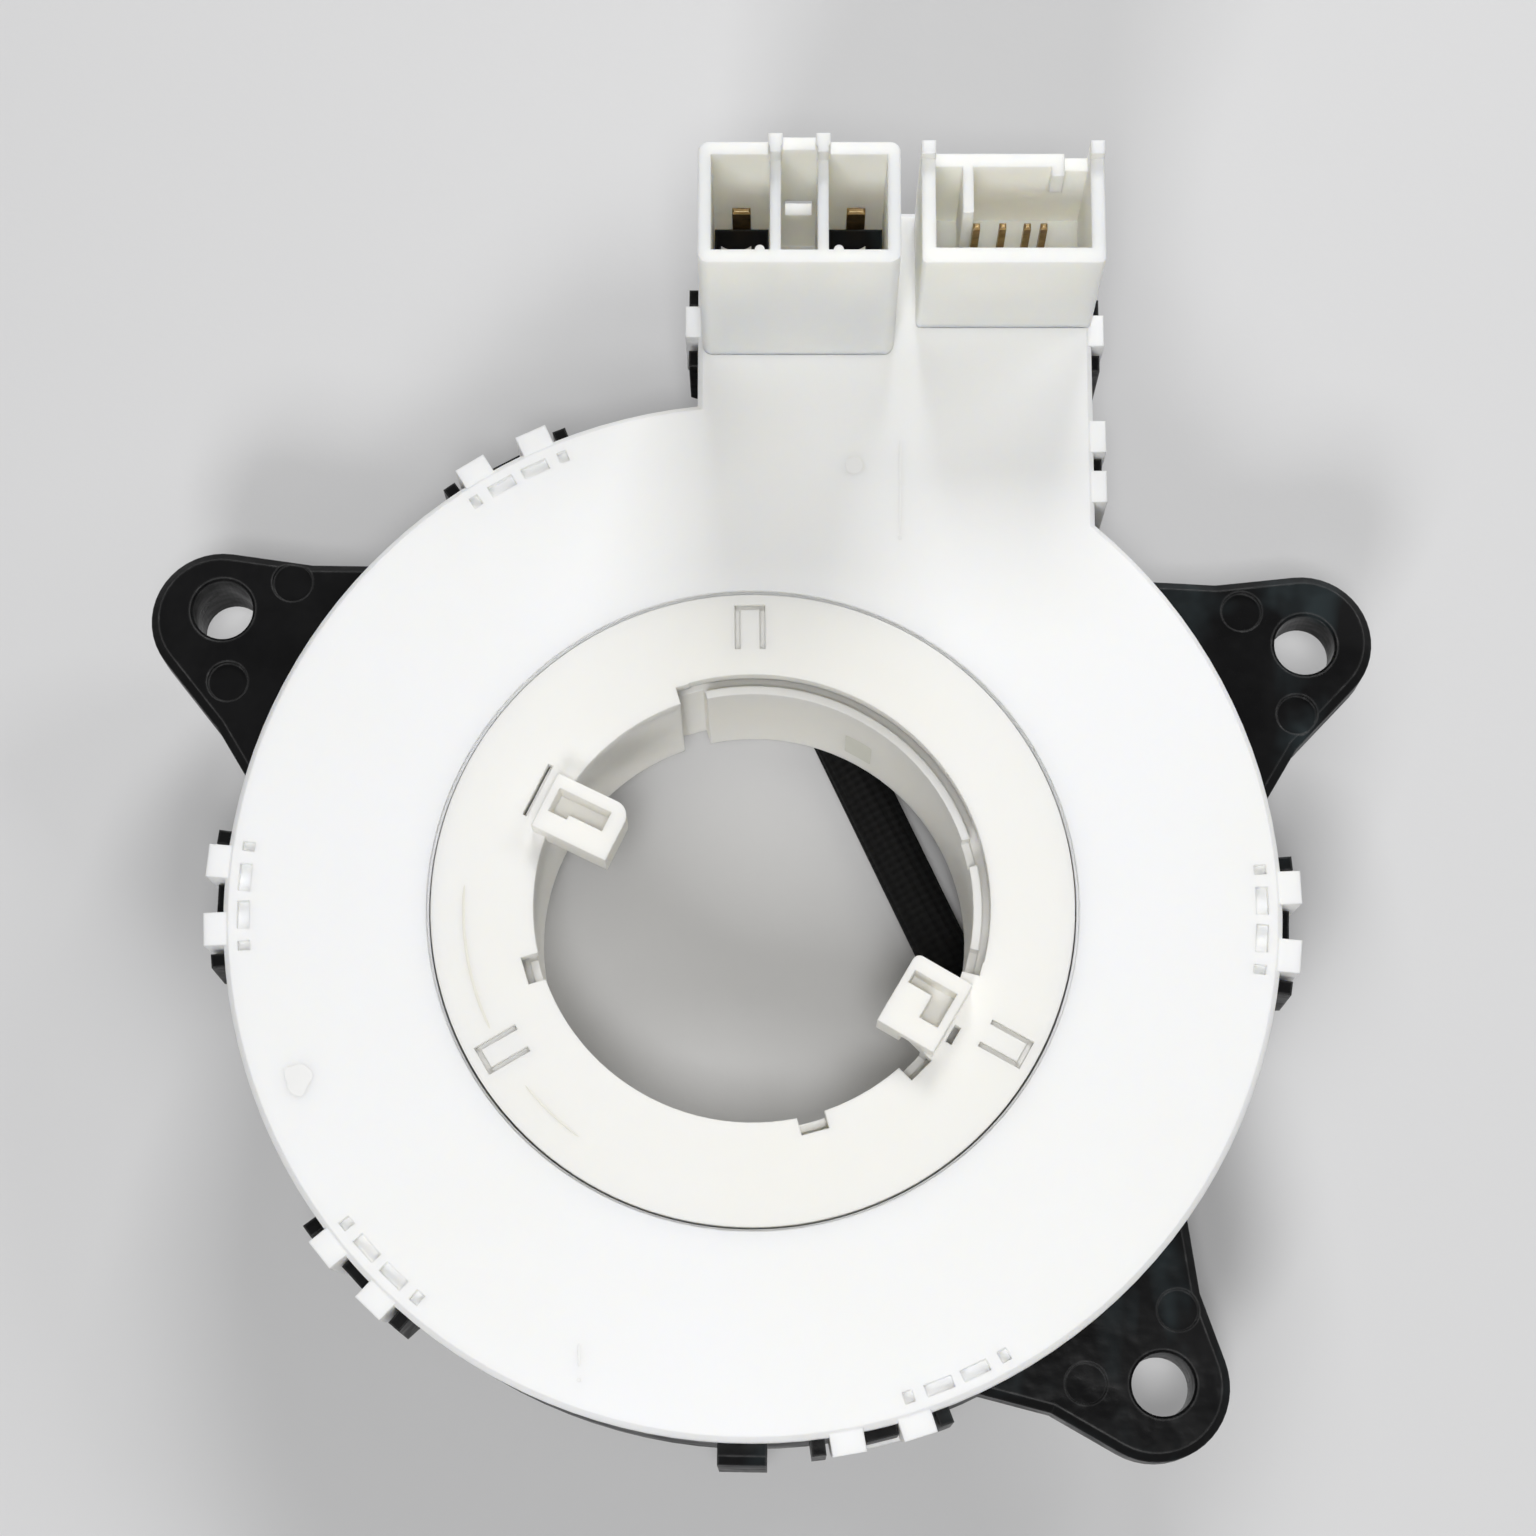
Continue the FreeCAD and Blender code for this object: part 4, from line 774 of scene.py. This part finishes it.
class CLOCKSPRING_OT_mould_marks(bpy.types.Operator):
    """Add the small marks that the moulds leave on the cover, the flange and the bore's wall"""
    bl_idname = "clockspring.mould_marks"
    bl_label = "Mould marks"

    def execute(self, context):
        look = context.scene.clockspring_marks
        on_cover = [
            on_face(bun(look.dot, look.dot, look.height), PLATE_DOT),
            on_face(bun(PLATE_DROP_RADIUS, PLATE_DROP_RADIUS, look.height), PLATE_DROP),
            on_face(bun(RIM_DROP_RADIUS, RIM_DROP_RADIUS, look.height), RIM_DROP),
            on_face(bun(*GATE_SIZE, look.height, wobble=GATE_WOBBLE), GATE),
            low_rope(straight(*PLATE_LINE), look.line, look.height),
            low_rope(straight(*RIM_LINE), look.line, look.height),
        ]
        on_flange = [
            low_rope(arc(FLANGE_LINE_RADIUS, start, end), look.line * part, look.height)
            for start, end, part in FLANGE_LINES]
        wall = bun(BORE_RADIUS * math.radians(INSERT_HALF_ANGLE), INSERT_HALF_HEIGHT, INSERT_PROUD,
                   SQUARE_MARK)
        in_bore = [on_bore(wall, INSERT_ANGLE, INSERT_Z)]
        skin = mark_plastic("cover_marks", look.cover)
        trim("cover_mould_marks", closed(on_cover), skin, "stator")
        skin = mark_plastic("rotor_marks", look.rotor)
        trim("flange_mould_marks", closed(on_flange), skin, "rotor")
        skin = mark_plastic("bore_mark", look.bore)
        trim("bore_insert_mark", closed(in_bore), skin, "rotor")
        return {"FINISHED"}


def sheet_of_paper():
    """Flat square sheet under the object: points (u, v, floor) on a grid of two parameters."""
    side = PAPER_STEPS + 1
    u = np.linspace(-PAPER_HALF_WIDTH, PAPER_HALF_WIDTH, side)
    grid = np.stack(np.meshgrid(u, u, indexing="ij"), -1).reshape(-1, 2)
    points = np.column_stack([grid, np.full(len(grid), FLOOR_Z)])
    i = np.arange(PAPER_STEPS)
    corner = (i[:, None] * side + i[None, :]).ravel()
    faces = np.stack([corner, corner + side, corner + side + 1, corner + 1], -1)
    mesh = bpy.data.meshes.new("paper")
    mesh.from_pydata(points.tolist(), [], faces.tolist())
    return bpy.data.objects.new("paper", mesh)


def lamp(name, place, width, power):
    """Square soft lamp that faces the object's middle."""
    data = bpy.data.lights.new(name, "AREA")
    data.size = width
    data.energy = power
    item = bpy.data.objects.new(name, data)
    item.location = place
    item.rotation_euler = (Vector(LAMP_AIM) - Vector(place)).to_track_quat("-Z", "Y").to_euler()
    bpy.context.scene.collection.objects.link(item)


class CLOCKSPRING_OT_studio(bpy.types.Operator):
    """Lay the paper, place the lamps and set the camera at the photographed angle"""
    bl_idname = "clockspring.studio"
    bl_label = "Studio"

    def execute(self, context):
        scene = context.scene
        look = scene.clockspring_studio
        paper = sheet_of_paper()
        paper.data.materials.append(paper_material(look))
        scene.collection.objects.link(paper)
        surroundings(look)
        for name, setting, place, width in LAMPS:
            lamp(name, place, width, getattr(look, setting))
        data = bpy.data.cameras.new("camera")
        data.lens = look.lens
        data.sensor_width = SENSOR_WIDTH
        data.clip_start = 10 * MM
        camera = bpy.data.objects.new("camera", data)
        camera.location = CAMERA_PLACE
        camera.rotation_euler = [math.radians(angle) for angle in CAMERA_TURN]
        scene.collection.objects.link(camera)
        scene.camera = camera
        scene.view_settings.view_transform = "Standard"
        return {"FINISHED"}


class CLOCKSPRING_PT_panel(bpy.types.Panel):
    """Sizes and colours, and a button for each step"""
    bl_label = "Clock spring"
    bl_space_type = "VIEW_3D"
    bl_region_type = "UI"
    bl_category = "Clock spring"

    def draw(self, context):
        for name, group, operator in STEPS:
            column = self.layout.column()
            for key in group.__annotations__:
                column.prop(getattr(context.scene, name), key)
            column.operator(operator.bl_idname)


# Each step: the name of its settings in the scene, their group and its operator
STEPS = (
    ("clockspring_white", WhiteLook, CLOCKSPRING_OT_white_mouldings),
    ("clockspring_black", BlackLook, CLOCKSPRING_OT_black_mouldings),
    ("clockspring_metal", MetalLook, CLOCKSPRING_OT_metal_pieces),
    ("clockspring_cable", CableLook, CLOCKSPRING_OT_cables),
    ("clockspring_lips", LipLook, CLOCKSPRING_OT_gap_lips),
    ("clockspring_marks", MarkLook, CLOCKSPRING_OT_mould_marks),
    ("clockspring_studio", StudioLook, CLOCKSPRING_OT_studio),
)


def register():
    for name, group, operator in STEPS:
        bpy.utils.register_class(group)
        setattr(bpy.types.Scene, name, bpy.props.PointerProperty(type=group))
        bpy.utils.register_class(operator)
    bpy.utils.register_class(CLOCKSPRING_PT_panel)


def unregister():
    bpy.utils.unregister_class(CLOCKSPRING_PT_panel)
    for name, group, operator in reversed(STEPS):
        bpy.utils.unregister_class(operator)
        delattr(bpy.types.Scene, name)
        bpy.utils.unregister_class(group)


def main():
    register()
    bpy.ops.clockspring.white_mouldings()
    bpy.ops.clockspring.black_mouldings()
    bpy.ops.clockspring.metal_pieces()
    bpy.ops.clockspring.cables()
    bpy.ops.clockspring.gap_lips()
    bpy.ops.clockspring.mould_marks()
    bpy.ops.clockspring.studio()


if __name__ == "__main__":
    main()
